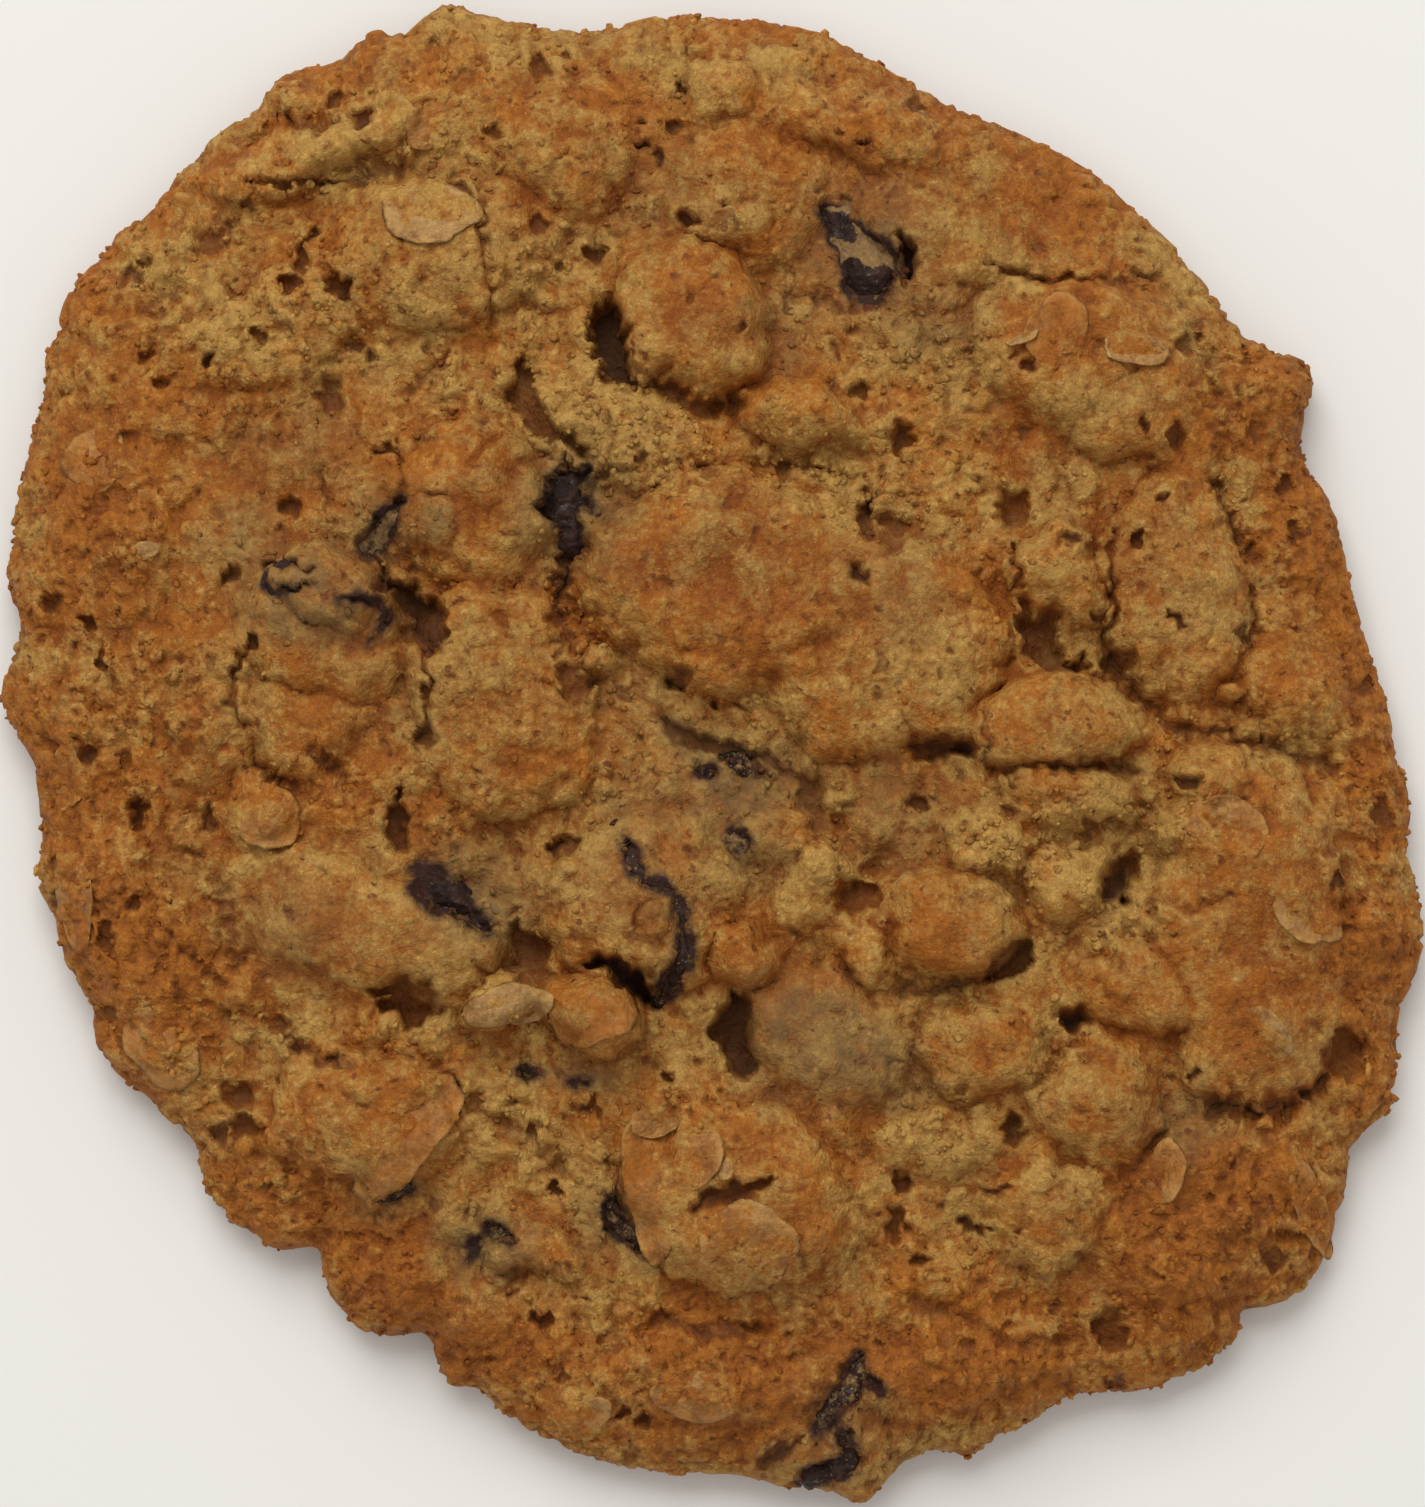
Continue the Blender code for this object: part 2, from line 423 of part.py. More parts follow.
def seen_up(x, y, rho):
    """How far up the picture a place is seen: higher places are seen further up."""
    lean = 1.0 / math.tan(VIEW_ELEVATION)
    return y + lean * (base_height(rho) + USUAL_LUMP - EDGE_LEVEL)


def rim_share(x, y):
    """The share of the way to the rim, and the rounding of the edge, 0 at the rim."""
    rim = outline_radius(np.arctan2(y, x))
    rho = np.clip(np.hypot(x, y) / rim, 0.0, 1.0)
    inward = np.clip((1.0 - rho) * rim / EDGE_ROUND, 0.0, 1.0)
    return rho, np.sqrt(np.clip(1.0 - (1.0 - inward) ** 2, 0.0, 1.0))


def open_height(x, y):
    """The upper surface in millimetres, before the raisins' pockets."""
    rho, rounding = rim_share(x, y)
    up = seen_up(x, y, rho)
    waves = (
        BROAD_LUMPS * lattice_noise(x, up, 9.0, 1)
        + MIDDLE_LUMPS * lattice_noise(x, up, 4.2, 2)
        + SMALL_LUMPS * lattice_noise(x, up, 2.1, 3)
    )
    top = base_height(rho) + lumps(x, up) + flake_height(x, up) + waves - hollows(x, up)
    top = np.maximum(top, EDGE_LEVEL + LEAST_OVER_EDGE)
    return EDGE_LEVEL + (top - EDGE_LEVEL) * rounding


def on_cookie(points):
    """A run of points on the cookie, from where they are seen."""
    ends = np.array(points, float)
    rho, _ = rim_share(ends[:, 0], ends[:, 1])
    lean = seen_up(ends[:, 0], ends[:, 1], rho) - ends[:, 1]
    return np.stack([ends[:, 0], ends[:, 1] - lean], axis=1)


def run_marks(ends):
    """How far along a run of points each point is."""
    return np.concatenate([[0.0], np.cumsum(np.hypot(*(ends[1:] - ends[:-1]).T))])


def raisin_levels(raisin):
    """The heights of a raisin's middle line at its points."""
    ring = np.linspace(0.0, 2.0 * math.pi, 12, endpoint=False)
    levels = []
    for end in on_cookie(raisin.points):
        x = end[0] + np.outer((0.4, 1.0), np.cos(ring)).ravel() * raisin.half_wide
        y = end[1] + np.outer((0.4, 1.0), np.sin(ring)).ravel() * raisin.half_wide
        levels.append(float(np.median(open_height(x, y))))
    return np.array(levels) + raisin.lift - raisin.half_high


def top_height(x, y):
    """The upper surface with a pocket under each raisin."""
    height = open_height(x, y)
    for raisin in RAISINS:
        ends, levels = on_cookie(raisin.points), raisin_levels(raisin)
        marks = run_marks(ends)
        away, place = nearest_on_path(x, y, ends)
        share = np.clip(away / (raisin.half_wide + POCKET_GAP), 0.0, 1.0)
        drop = (raisin.half_high + POCKET_GAP) * np.sqrt(1.0 - share**2)
        floor = np.interp(place * marks[-1], marks, levels) - drop
        height = np.where(share < 1.0, np.minimum(height, floor), height)
    return height


def stitch(inner_start, inner_count, outer_start, outer_count):
    """Triangles between two rings, anticlockwise seen from above."""
    if inner_count == 1:
        step = np.arange(outer_count)
        following = (step + 1) % outer_count
        middle = np.full(outer_count, inner_start)
        return np.stack([middle, outer_start + step, outer_start + following], axis=1)
    edge = np.arange(outer_count)
    beside = ((2 * edge + 1) * inner_count + outer_count) // (2 * outer_count) % inner_count
    ahead = (edge + 1) % outer_count
    wide = np.stack([inner_start + beside, outer_start + edge, outer_start + ahead], axis=1)
    edge = np.arange(inner_count)
    beside = -((inner_count - (2 * edge + 1) * outer_count) // (2 * inner_count)) % outer_count
    ahead = (edge + 1) % inner_count
    narrow = np.stack([inner_start + ahead, inner_start + edge, outer_start + beside], axis=1)
    return np.concatenate([wide, narrow])


def ring_points(count, inset, rho):
    """One ring of points at a share rho of the outline, moved in by inset."""
    angle = np.arange(count) * 2.0 * math.pi / count
    radius = (outline_radius(angle) - inset) * rho
    return radius * np.cos(angle), radius * np.sin(angle)


def dough_mesh():
    """The closed dough: rings over the top, round the edge and under to the middle."""
    rings = []
    reach = 1.0 - EDGE_ROUND / SHORT_HALF
    for step in range(1, DENSE_RINGS):
        rings.append((6 * step, 0.0, reach * step / (DENSE_RINGS - 1), None))
    for step in range(1, EDGE_RINGS + 1):
        swing = 0.5 * math.pi * step / EDGE_RINGS
        rings.append((6 * DENSE_RINGS, 0.0, 1.0 - (1.0 - reach) * (1.0 - math.sin(swing)), None))
    for step in range(1, FOOT_RINGS + 1):
        swing = 0.5 * math.pi * step / FOOT_RINGS
        inset = FOOT_INSET * (1.0 - math.cos(swing))
        rings.append((6 * DENSE_RINGS, inset, 1.0, EDGE_LEVEL * (1.0 - math.sin(swing))))
    for share, count in UNDER_RINGS:
        rings.append((count, FOOT_INSET, share, 0.0))
    points = [np.array([[0.0, 0.0, float(top_height(np.zeros(1), np.zeros(1))[0])]])]
    faces = []
    start, before, before_count = 1, 0, 1
    for number, (count, inset, rho, level) in enumerate(rings):
        x, y = ring_points(count, inset, rho)
        z = top_height(x, y) if level is None else np.full(count, level)
        points.append(np.stack([x, y, z], axis=1))
        if level is None or count >= before_count:
            faces.append(stitch(before, before_count, start, count))
        else:
            faces.append(stitch(start, count, before, before_count)[:, ::-1])
        before, before_count = start, count
        start += count
    points.append(np.array([[0.0, 0.0, 0.0]]))
    faces.append(stitch(start, 1, before, before_count)[:, ::-1])
    return np.concatenate(points), np.concatenate(faces)


def raisin_mesh(raisin, seed):
    """A wrinkled raisin: rings of points along its middle line, closed at both ends."""
    ends, levels = on_cookie(raisin.points), raisin_levels(raisin)
    marks = run_marks(ends)
    total = marks[-1]

    def on_path(place):
        return np.array([np.interp(place, marks, ends[:, axis]) for axis in (0, 1)])

    points = []
    around = np.arange(SECTION_SIDES) * 2.0 * math.pi / SECTION_SIDES
    for number, swing in enumerate(np.linspace(-0.5 * math.pi, 0.5 * math.pi, PATH_STEPS + 2)):
        along = 0.5 * total + (0.5 * total + raisin.half_wide) * math.sin(swing)
        place = min(max(along, 0.0), total)
        way = on_path(min(place + 0.6, total)) - on_path(max(place - 0.6, 0.0))
        way = way / np.hypot(*way)
        middle = on_path(place) + way * (along - place)
        level = float(np.interp(place, marks, levels))
        if number in (0, PATH_STEPS + 1):
            points.append(np.array([[middle[0], middle[1], level]]))
            continue
        size = math.sqrt(1.0 - ((along - place) / raisin.half_wide) ** 2)
        size *= 1.0 - PINCH * (0.5 + 0.5 * math.sin(1.9 * number + 2.1 * seed))
        folds = np.cos(3.0 * around + seed + 1.3 * number) + np.cos(5.0 * around - 1.7 * number)
        crease = size * (1.0 - WRINKLE * (1.0 + 0.5 * folds))
        side = np.cos(around) * raisin.half_wide * crease
        lift = np.sin(around) * raisin.half_high * crease
        ring = (middle[0] - way[1] * side, middle[1] + way[0] * side, level + lift)
        points.append(np.stack(ring, axis=1))
    return np.concatenate(points), tube_faces(SECTION_SIDES, PATH_STEPS)


def tube_faces(sides, rings):
    """Triangles over a closed tube: a point, rings of sides points, and a point."""
    faces = []
    last = 1 + sides * rings
    for side in range(sides):
        ahead = (side + 1) % sides
        faces.append((0, 1 + ahead, 1 + side))
        for ring in range(rings - 1):
            here = 1 + ring * sides
            there = here + sides
            faces.append((here + side, here + ahead, there + side))
            faces.append((here + ahead, there + ahead, there + side))
        faces.append((last - sides + side, last - sides + ahead, last))
    return np.array(faces)


def material(name, colour, roughness):
    """A plain material."""
    made = bpy.data.materials.new(name)
    made.use_nodes = True
    shader = made.node_tree.nodes["Principled BSDF"]
    shader.inputs["Base Color"].default_value = colour
    shader.inputs["Roughness"].default_value = roughness
    shader.inputs["Metallic"].default_value = 0.0
    return made


def outline_middle():
    """The middle of the outline's box, which is the row's origin."""
    angle = np.linspace(0.0, 2.0 * math.pi, 3600, endpoint=False)
    x = outline_radius(angle) * np.cos(angle)
    y = outline_radius(angle) * np.sin(angle)
    return np.array([0.5 * (x.min() + x.max()), 0.5 * (y.min() + y.max()), 0.0])


def add_object(name, points, faces, place, finish, parent):
    """A smooth-shaded object at a place, from points in millimetres."""
    mesh = bpy.data.meshes.new(name)
    mesh.from_pydata(((points - place) * MM).tolist(), [], faces.tolist())
    mesh.materials.append(finish)
    shade(mesh)
    made = bpy.data.objects.new(name, mesh)
    made.location = (place - outline_middle()) * MM
    made.parent = parent
    bpy.context.scene.collection.objects.link(made)
    return made


def shade(mesh):
    """Smooth shading that keeps the sharp folds."""
    mesh.shade_smooth()
    mesh.set_sharp_from_angle(angle=SHARP_ANGLE)


def thin_out(made, wanted):
    """Fewer triangles, with the underside kept exactly flat."""
    fewer = made.modifiers.new("fewer", "DECIMATE")
    fewer.ratio = wanted / len(made.data.polygons)
    graph = bpy.context.evaluated_depsgraph_get()
    thinned = bpy.data.meshes.new_from_object(made.evaluated_get(graph))
    made.modifiers.clear()
    made.data = thinned
    for vertex in thinned.vertices:
        if vertex.co.z < FLAT_WITHIN:
            vertex.co.z = 0.0
    shade(thinned)


def main():
    """Builds the cookie: an empty that carries the dough and each raisin."""
    for old in list(bpy.data.objects):
        bpy.data.objects.remove(old)
    dough_finish = material("baked_dough", DOUGH_COLOUR, 0.8)
    raisin_finish = material("raisin_skin", RAISIN_COLOUR, 0.35)
    cookie = bpy.data.objects.new("cookie", None)
    bpy.context.scene.collection.objects.link(cookie)
    points, faces = dough_mesh()
    dough = add_object("dough", points, faces, outline_middle(), dough_finish, cookie)
    thin_out(dough, DOUGH_TRIANGLES)
    for number, raisin in enumerate(RAISINS):
        points, faces = raisin_mesh(raisin, number)
        add_object(raisin.name, points, faces, points.mean(axis=0), raisin_finish, cookie)


if __name__ == "__main__":
    main()
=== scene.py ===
"""A large soft oat cookie with raisins on a pale studio floor.

The dough, the fruit, the oat flakes and the loose crumbs are classes. Sizes in the
lists of features are in millimetres, and a feature's place is where it is seen from
the camera, across and up from the middle of the view.
"""

import logging
import math
from dataclasses import dataclass
from enum import Enum
from typing import Optional, Sequence

import bpy
import numpy as np
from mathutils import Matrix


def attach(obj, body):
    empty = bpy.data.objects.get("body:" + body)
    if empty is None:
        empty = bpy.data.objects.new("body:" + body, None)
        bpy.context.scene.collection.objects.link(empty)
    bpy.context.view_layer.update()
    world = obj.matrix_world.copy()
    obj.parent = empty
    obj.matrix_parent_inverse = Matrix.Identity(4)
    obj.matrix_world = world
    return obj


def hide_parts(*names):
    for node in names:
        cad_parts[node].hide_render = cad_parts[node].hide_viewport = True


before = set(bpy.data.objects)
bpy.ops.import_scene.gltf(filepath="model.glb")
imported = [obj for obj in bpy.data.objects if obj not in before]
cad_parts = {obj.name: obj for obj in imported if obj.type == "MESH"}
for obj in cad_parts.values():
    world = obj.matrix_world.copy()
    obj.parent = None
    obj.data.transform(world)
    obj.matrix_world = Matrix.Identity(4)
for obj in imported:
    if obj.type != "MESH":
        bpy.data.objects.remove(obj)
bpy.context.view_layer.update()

MM = 0.001
# How steeply the lists' places are seen, in degrees: higher ones lean up the picture.
LIST_ELEVATION = 84.0
Array = np.ndarray
log = logging.getLogger("cookie")


# ---------------------------------------------------------------- features

class Zone(Enum):
    """What a part of the baked surface is like."""

    TOAST = "toast"
    CRUMB = "crumb"
    STAIN = "stain"
    RIM = "rim"
    SMOOTH = "smooth"


@dataclass(frozen=True)
class Lobe:
    """A bulge of the outline, or a notch where out is below nought."""

    degrees: float
    out: float
    spread: float


@dataclass(frozen=True)
class Oval:
    """A place on the cookie with half lengths and a turn."""

    x: float
    y: float
    half_long: float
    half_wide: float
    degrees: float = 0.0

    def distance(self, x: Array, y: Array) -> Array:
        """How far places are from the middle.

        Args:
            x: places across.
            y: places up.

        Returns:
            0 in the middle and 1 on the oval.
        """
        turn = math.radians(self.degrees)
        dx, dy = x - self.x, y - self.y
        along = dx * math.cos(turn) + dy * math.sin(turn)
        across = -dx * math.sin(turn) + dy * math.cos(turn)
        return np.hypot(along / self.half_long, across / self.half_wide)


@dataclass(frozen=True)
class Mound(Oval):
    """A lump of dough: its rise, and how flat on top, steep at the edge and toasted it is."""

    rise: float = 2.0
    flat: float = 2.6
    edge: float = 0.8
    toast: float = 0.25


@dataclass(frozen=True)
class Flake(Oval):
    """An oat flake half sunk in the dough.

    Colour goes from 0, pale, to 1, orange. Lift is how far its middle stands above the
    dough, tip how much its rim rises on one side and sinks on the other, side the
    direction of the rising rim, and crease how deep the fold along it is.
    """

    colour: float = 0.4
    lift: float = 0.12
    tip: float = 0.4
    side: float = 90.0
    crease: float = 0.2


@dataclass(frozen=True)
class Pit(Oval):
    """A hole; dark is how much shade is painted in it."""

    depth: float = 1.0
    dark: float = 0.88


@dataclass(frozen=True)
class Crack:
    """A crack along a run of points; dark is how much shade is painted in it."""

    points: tuple
    wide: float
    depth: float
    dark: float = 0.8


@dataclass(frozen=True)
class Patch(Oval):
    """A soft-edged patch of one kind of surface."""

    strength: float = 1.0


@dataclass(frozen=True)
class Cut:
    """A hollow along a chain of beads, each x, y and radius; dark is how much shade is painted in
    it.
    """

    beads: tuple
    depth: float
    dark: float = 0.8


@dataclass(frozen=True)
class Fruit:
    """A raisin along a run of points.

    Its lift is how far its top stands above the dough. Coat is how much dough film is
    on it, bare are chains of beads where the skin shows through the film, open are
    chains where the dough over it is missing, and depth is how far down that goes below
    its top.
    """

    node: str
    points: tuple
    half_wide: float
    half_high: float
    lift: float
    coat: float = 0.2
    bare: tuple = ()
    open: tuple = ()
    depth: float = 0.4


def each(kind: type, *rows: tuple) -> tuple:
    """Builds one feature from each row of values, which are in the order of its fields.

    Args:
        kind: the features' class.
        rows: the values of each.

    Returns:
        The features.
    """
    return tuple(kind(*row) for row in rows)


LOBES = each(
    Lobe,
    (5, -1.4, 14), (12, -0.5, 4), (26, -0.6, 2.5), (32, 2.7, 2.7), (52, 0.8, 14), (70, -0.9, 6),
    (82, 0.4, 5), (89, -0.3, 1.5), (100, -1.8, 5), (110, 1.5, 1.9), (116, 1, 1.6), (123, 1, 2.2),
    (126, -0.4, 1.2), (130, 0.3, 4), (138, -0.4, 2.5), (139.5, 0.8, 1.5), (145, 1.4, 3.2),
    (150, 0.6, 1.2), (167, 0.4, 1.5), (170.5, -0.8, 3), (177, 0.7, 2.5), (183.5, -1.1, 4.5),
    (192, 0.7, 2.2), (198.5, 0.8, 2.4), (207, 1.4, 3.4), (218, -0.9, 2.2), (223, 1.1, 4.2),
    (232, -1.8, 1.5), (239, 0.5, 2.4), (244, -1.7, 1.8), (247.5, 0.4, 1.6), (250, -0.6, 1.4),
    (261, 1, 8), (271, -0.5, 3), (276, 0.3, 2), (281, 1.5, 1.8), (287, -1.6, 3.2),
    (289.5, 0.4, 1.2), (292.5, -0.9, 1.5), (298, -2.3, 3.6), (310, 0.8, 4.2), (313, -1.1, 1.2),
    (318, 1.75, 3.2), (323, 0.4, 2.5), (328, -0.6, 2), (332, 0.8, 2.3), (338.5, -0.5, 1.5),
    (344, 0.6, 3), (351, -0.5, 1.8), (355, 0.3, 2),
)

MOUNDS = each(
    Mound,
    (-1.5, 28.3, 5.2, 5.6, 0, 3, 2.4, 0.55, 0.5), (5.9, 22, 4.6, 2.5, -14, 2.4, 2.4, 0.7, 0.3),
    (1.9, 11, 10.8, 7.8, -10, 2.7, 4, 0.6, 0.45), (10, 7, 9.4, 8, -20, 2.3, 3.6, 0.6, 0.05),
    (-14, 3.5, 6.3, 8.2, 12, 2.2, 3.4, 0.6, 0.4), (-16, 16, 5.8, 5.8, 0, 2.5, 2.8, 0.7, 0.4),
    (-5, 21, 8.2, 4.2, -18, 1.6, 2.6, 0.9, 0), (-10, 40, 5.4, 5.2, 20, 1.9, 2.6, 0.9, 0.4),
    (0.5, 43.7, 2.8, 2.1, 0, 1.4, 2.4, 0.8, 0.2), (2, 36.5, 6, 5.2, -30, 2, 2.8, 0.8, 0.4),
    (-18, 33, 8.6, 5.2, 8, 1.9, 3, 0.7, 0.3), (-27, 39.5, 8.4, 2.4, 22, 1.8, 2.6, 0.8, 0),
    (-31, 42.6, 4, 2.4, 35, 1.2, 2.4, 0.8, 0.1), (-29, 28, 8, 3.6, 20, 1.4, 2.8, 0.8, 0),
    (10, 41, 5.6, 2.7, -20, 1.5, 2.6, 0.8, 0.5), (25, 25.5, 8.6, 6, -18, 2.2, 3.2, 0.7, 0.35),
    (30.5, 10.5, 5.2, 7.6, 6, 2.1, 3.2, 0.65, 0.35),
    (22.8, 11.2, 3.4, 3.8, 10, 2.3, 2.6, 0.6, 0.2), (22.5, 1.4, 6.4, 3.6, 6, 2.6, 2.6, 0.55, 0.3),
    (23, -3.1, 5.2, 2.3, -8, 2.1, 2.6, 0.6, 0.5), (35.4, -12, 6.8, 12.6, 4, 2.2, 3.6, 0.65, 0.4),
    (32.4, -6.6, 4.4, 3, -24, 2.4, 2.4, 0.9, 0), (33.4, -1.8, 3.6, 2.4, -20, 2, 2.6, 0.7, 0.3),
    (34.1, 3.6, 1.2, 0.8, 0, 1.9, 2.4, 0.8, 0), (15.5, -11.2, 4.9, 3.8, -8, 2.8, 2.6, 0.65, 0.75),
    (28.3, -15.8, 4.3, 3.9, 0, 2.1, 2.6, 0.75, 0.15),
    (25.5, -23.3, 4.8, 4.2, -20, 2.2, 2.6, 0.75, 0.3),
    (17.5, -19.8, 4.6, 3.3, -10, 2, 2.6, 0.7, 0.6), (22, -30.2, 5.2, 4.4, 20, 1.6, 2.8, 0.8, 0.3),
    (-8, -17.2, 3.6, 2.7, -8, 3.1, 2.8, 0.5, 0.8),
    (-13.6, -16.8, 3.6, 1.9, 4, 2.2, 2.6, 0.6, 0.1), (-23, -24.5, 7, 4.9, -12, 2, 3, 0.65, 0.4),
    (1.4, -29.5, 7.6, 6.6, -10, 2.5, 3.4, 0.6, 0.1), (-4.6, -10, 6.6, 6.8, 0, 2.7, 2.8, 0.7, 0),
    (-22.5, -11.8, 9.6, 4.6, -14, 2, 2.8, 0.8, 0.3),
    (-25.5, 8.2, 6.4, 5.4, -12, 2.1, 2.6, 0.7, 0.3), (-27.5, 2, 5, 4, 0, 1.4, 2.6, 0.8, 0.5),
    (-33, 1, 4.2, 3.3, 30, 1.3, 2.6, 0.7, 0.7), (18.2, -6, 3.6, 2.6, -14, 1.6, 2.6, 0.8, 0),
    (23.6, -8.6, 3.2, 3, 0, 1.6, 2.6, 0.8, 0), (38.5, 4, 4.4, 3.6, -30, 1.3, 2.6, 0.8, 0.3),
    (32, -30.5, 8.6, 6, 40, 1.2, 2.8, 0.9, 0.4), (-11.5, -33.3, 4, 1.8, -6, 1.5, 2.4, 0.7, 0.1),
    (7, -18.8, 6.2, 4.4, -20, 1.6, 2.6, 0.8, 0), (4, -5.5, 3.8, 2.8, -30, 1.5, 2.6, 0.8, 0.2),
    (11, -11, 3.4, 3, 0, 1, 2.4, 0.8, 0), (6.5, -9, 3.2, 3, 0, 1.5, 2.4, 0.8, 0),
    (14, -26, 4.8, 3.2, 0, 1.2, 2.4, 0.9, 0), (-38.5, -12, 4.4, 8, 24, 1, 2.6, 0.9, 0.4),
    (-40, 14, 4.6, 9, -8, 0.9, 2.6, 0.9, 0.4), (-1, -41.5, 8.6, 3.6, 0, 1.2, 2.6, 0.9, 0.4),
    (16, -41, 8.6, 3.4, 14, 1.2, 2.6, 0.9, 0.4), (-18, -36.5, 6.4, 3.2, -30, 1, 2.6, 0.9, 0.4),
    (14, 33.5, 7, 5, -30, 1, 2.6, 1, 0.3), (-14.4, 8.7, 1.3, 1.1, 0, 1.9, 2.4, 0.7, 1),
    (2.2, -13.2, 3, 2.5, 0, 2.2, 2.4, 0.7, 0.5), (9.7, -13.2, 1.9, 2.6, 12, 1.7, 2.4, 0.7, 0.1),
    (-14.8, -13.3, 2.2, 2, 0, 1.5, 2.4, 0.7, 0.1), (-4.1, -10.8, 1.7, 1.3, 0, 3.2, 2.6, 0.6, 1),
    (-8, 5.8, 1.7, 1.4, -20, 1.5, 2.4, 0.7, 0), (-18.2, 15, 2.6, 3, 0, 3, 2.4, 0.9, 0.1),
    (-14.6, 17.4, 2.4, 3.8, -10, 3.2, 2.4, 0.9, 1), (-30, -4, 2.8, 2.6, 0, 1.1, 2.4, 1, 0.6),
    (6.6, -8, 2.2, 1.9, -30, 2, 2.4, 0.7, 0.1), (-25.4, 10.6, 4.5, 2.6, -16, 3.3, 3, 0.5, 0),
    (-23.4, 7.9, 1.6, 1.2, 0, 2.5, 2.4, 0.7, 0.7),
)

FLAKES = each(
    Flake,
    (-18.8, 35.3, 3.3, 2.2, -14, 0, 0.1, 0.3, 270),
    (-18, 41.5, 2.6, 1.7, 20, 0.7, 0.08, 0.4, 200),
    (-30, -4.2, 2.9, 2.3, -20, 0.8, 0.1, 0.4, 300),
    (22.6, 27.6, 2.4, 2, 70, 1, 0.26, 0.4, 110, 0.1),
    (27.8, 26.2, 2.3, 1.1, -4, 0.1, 0.14, 0.3, 270, 0.35),
    (20.2, 27.5, 1.5, 0.9, 40, 0, 0.14, 0.35, 300),
    (-8, -17.3, 3, 2.2, -10, 0.95, 0.2, 0.4, 290, 0.12),
    (-20.2, -25.5, 4.8, 2.4, 49, 0.8, 0.2, 0.8, 319, 0.1),
    (-4.3, -29.2, 4.4, 1.7, 101, 0.9, 0.45, 1, 190, 0.1),
    (-4, -24.6, 1.5, 1, 10, 0.35, 0.24, 0.4, 250, 0),
    (-1, -26.9, 2, 1.5, 80, 0.6, 0.25, 0.4, 20, 0.1),
    (0.8, -27.6, 0.8, 0.45, 75, 0, 0.3, 0.1, 0, 0),
    (2, -33, 3.6, 3, 12, 0.45, 0.04, 0.25, 80, 0.15),
    (-1, -42.8, 2.9, 1.9, -8, 0.7, -0.04, 0.3, 250),
    (-9, -44.5, 2.2, 1.4, 20, 0.6, -0.04, 0.3, 60),
    (-36.5, -19.8, 2.9, 2.5, -40, 0.8, -0.02, 0.3, 240),
    (-42.4, -10.2, 3.4, 1.3, 102, 0.8, -0.03, 0.25, 20),
    (-42.9, -2, 2.3, 1.1, 95, 0.8, -0.03, 0.25, 10),
    (33.6, -5.2, 3.2, 1.8, -22, 0.6, 0.12, 0.45, 65),
    (39, -11.2, 2.6, 1.6, -38, 0.7, 0.06, 0.45, 230, 0.15),
    (36.6, -18.5, 1.9, 0.8, -48, 0.05, 0.16, 0.35, 45, 0),
    (39.6, -30.6, 3.2, 1.2, 112, 0.7, -0.02, 0.3, 200),
    (29.4, -28.2, 2.5, 1.4, 75, 0.55, 0.24, 0.8, 0, 0.3),
    (0.3, 34.3, 1.5, 0.8, 60, 0.7, 0.24, 0.5, 100, 0.1),
    (-41, 19, 2.3, 2, 0, 0.9, 0.08, 0.35, 180), (-37.5, 13, 0.9, 0.6, 0, 0, 0.2, 0.2, 90, 0),
    (-13.5, -16.9, 2.9, 1.5, 6, -0.5, 0.3, 0.4, 270, 0),
)

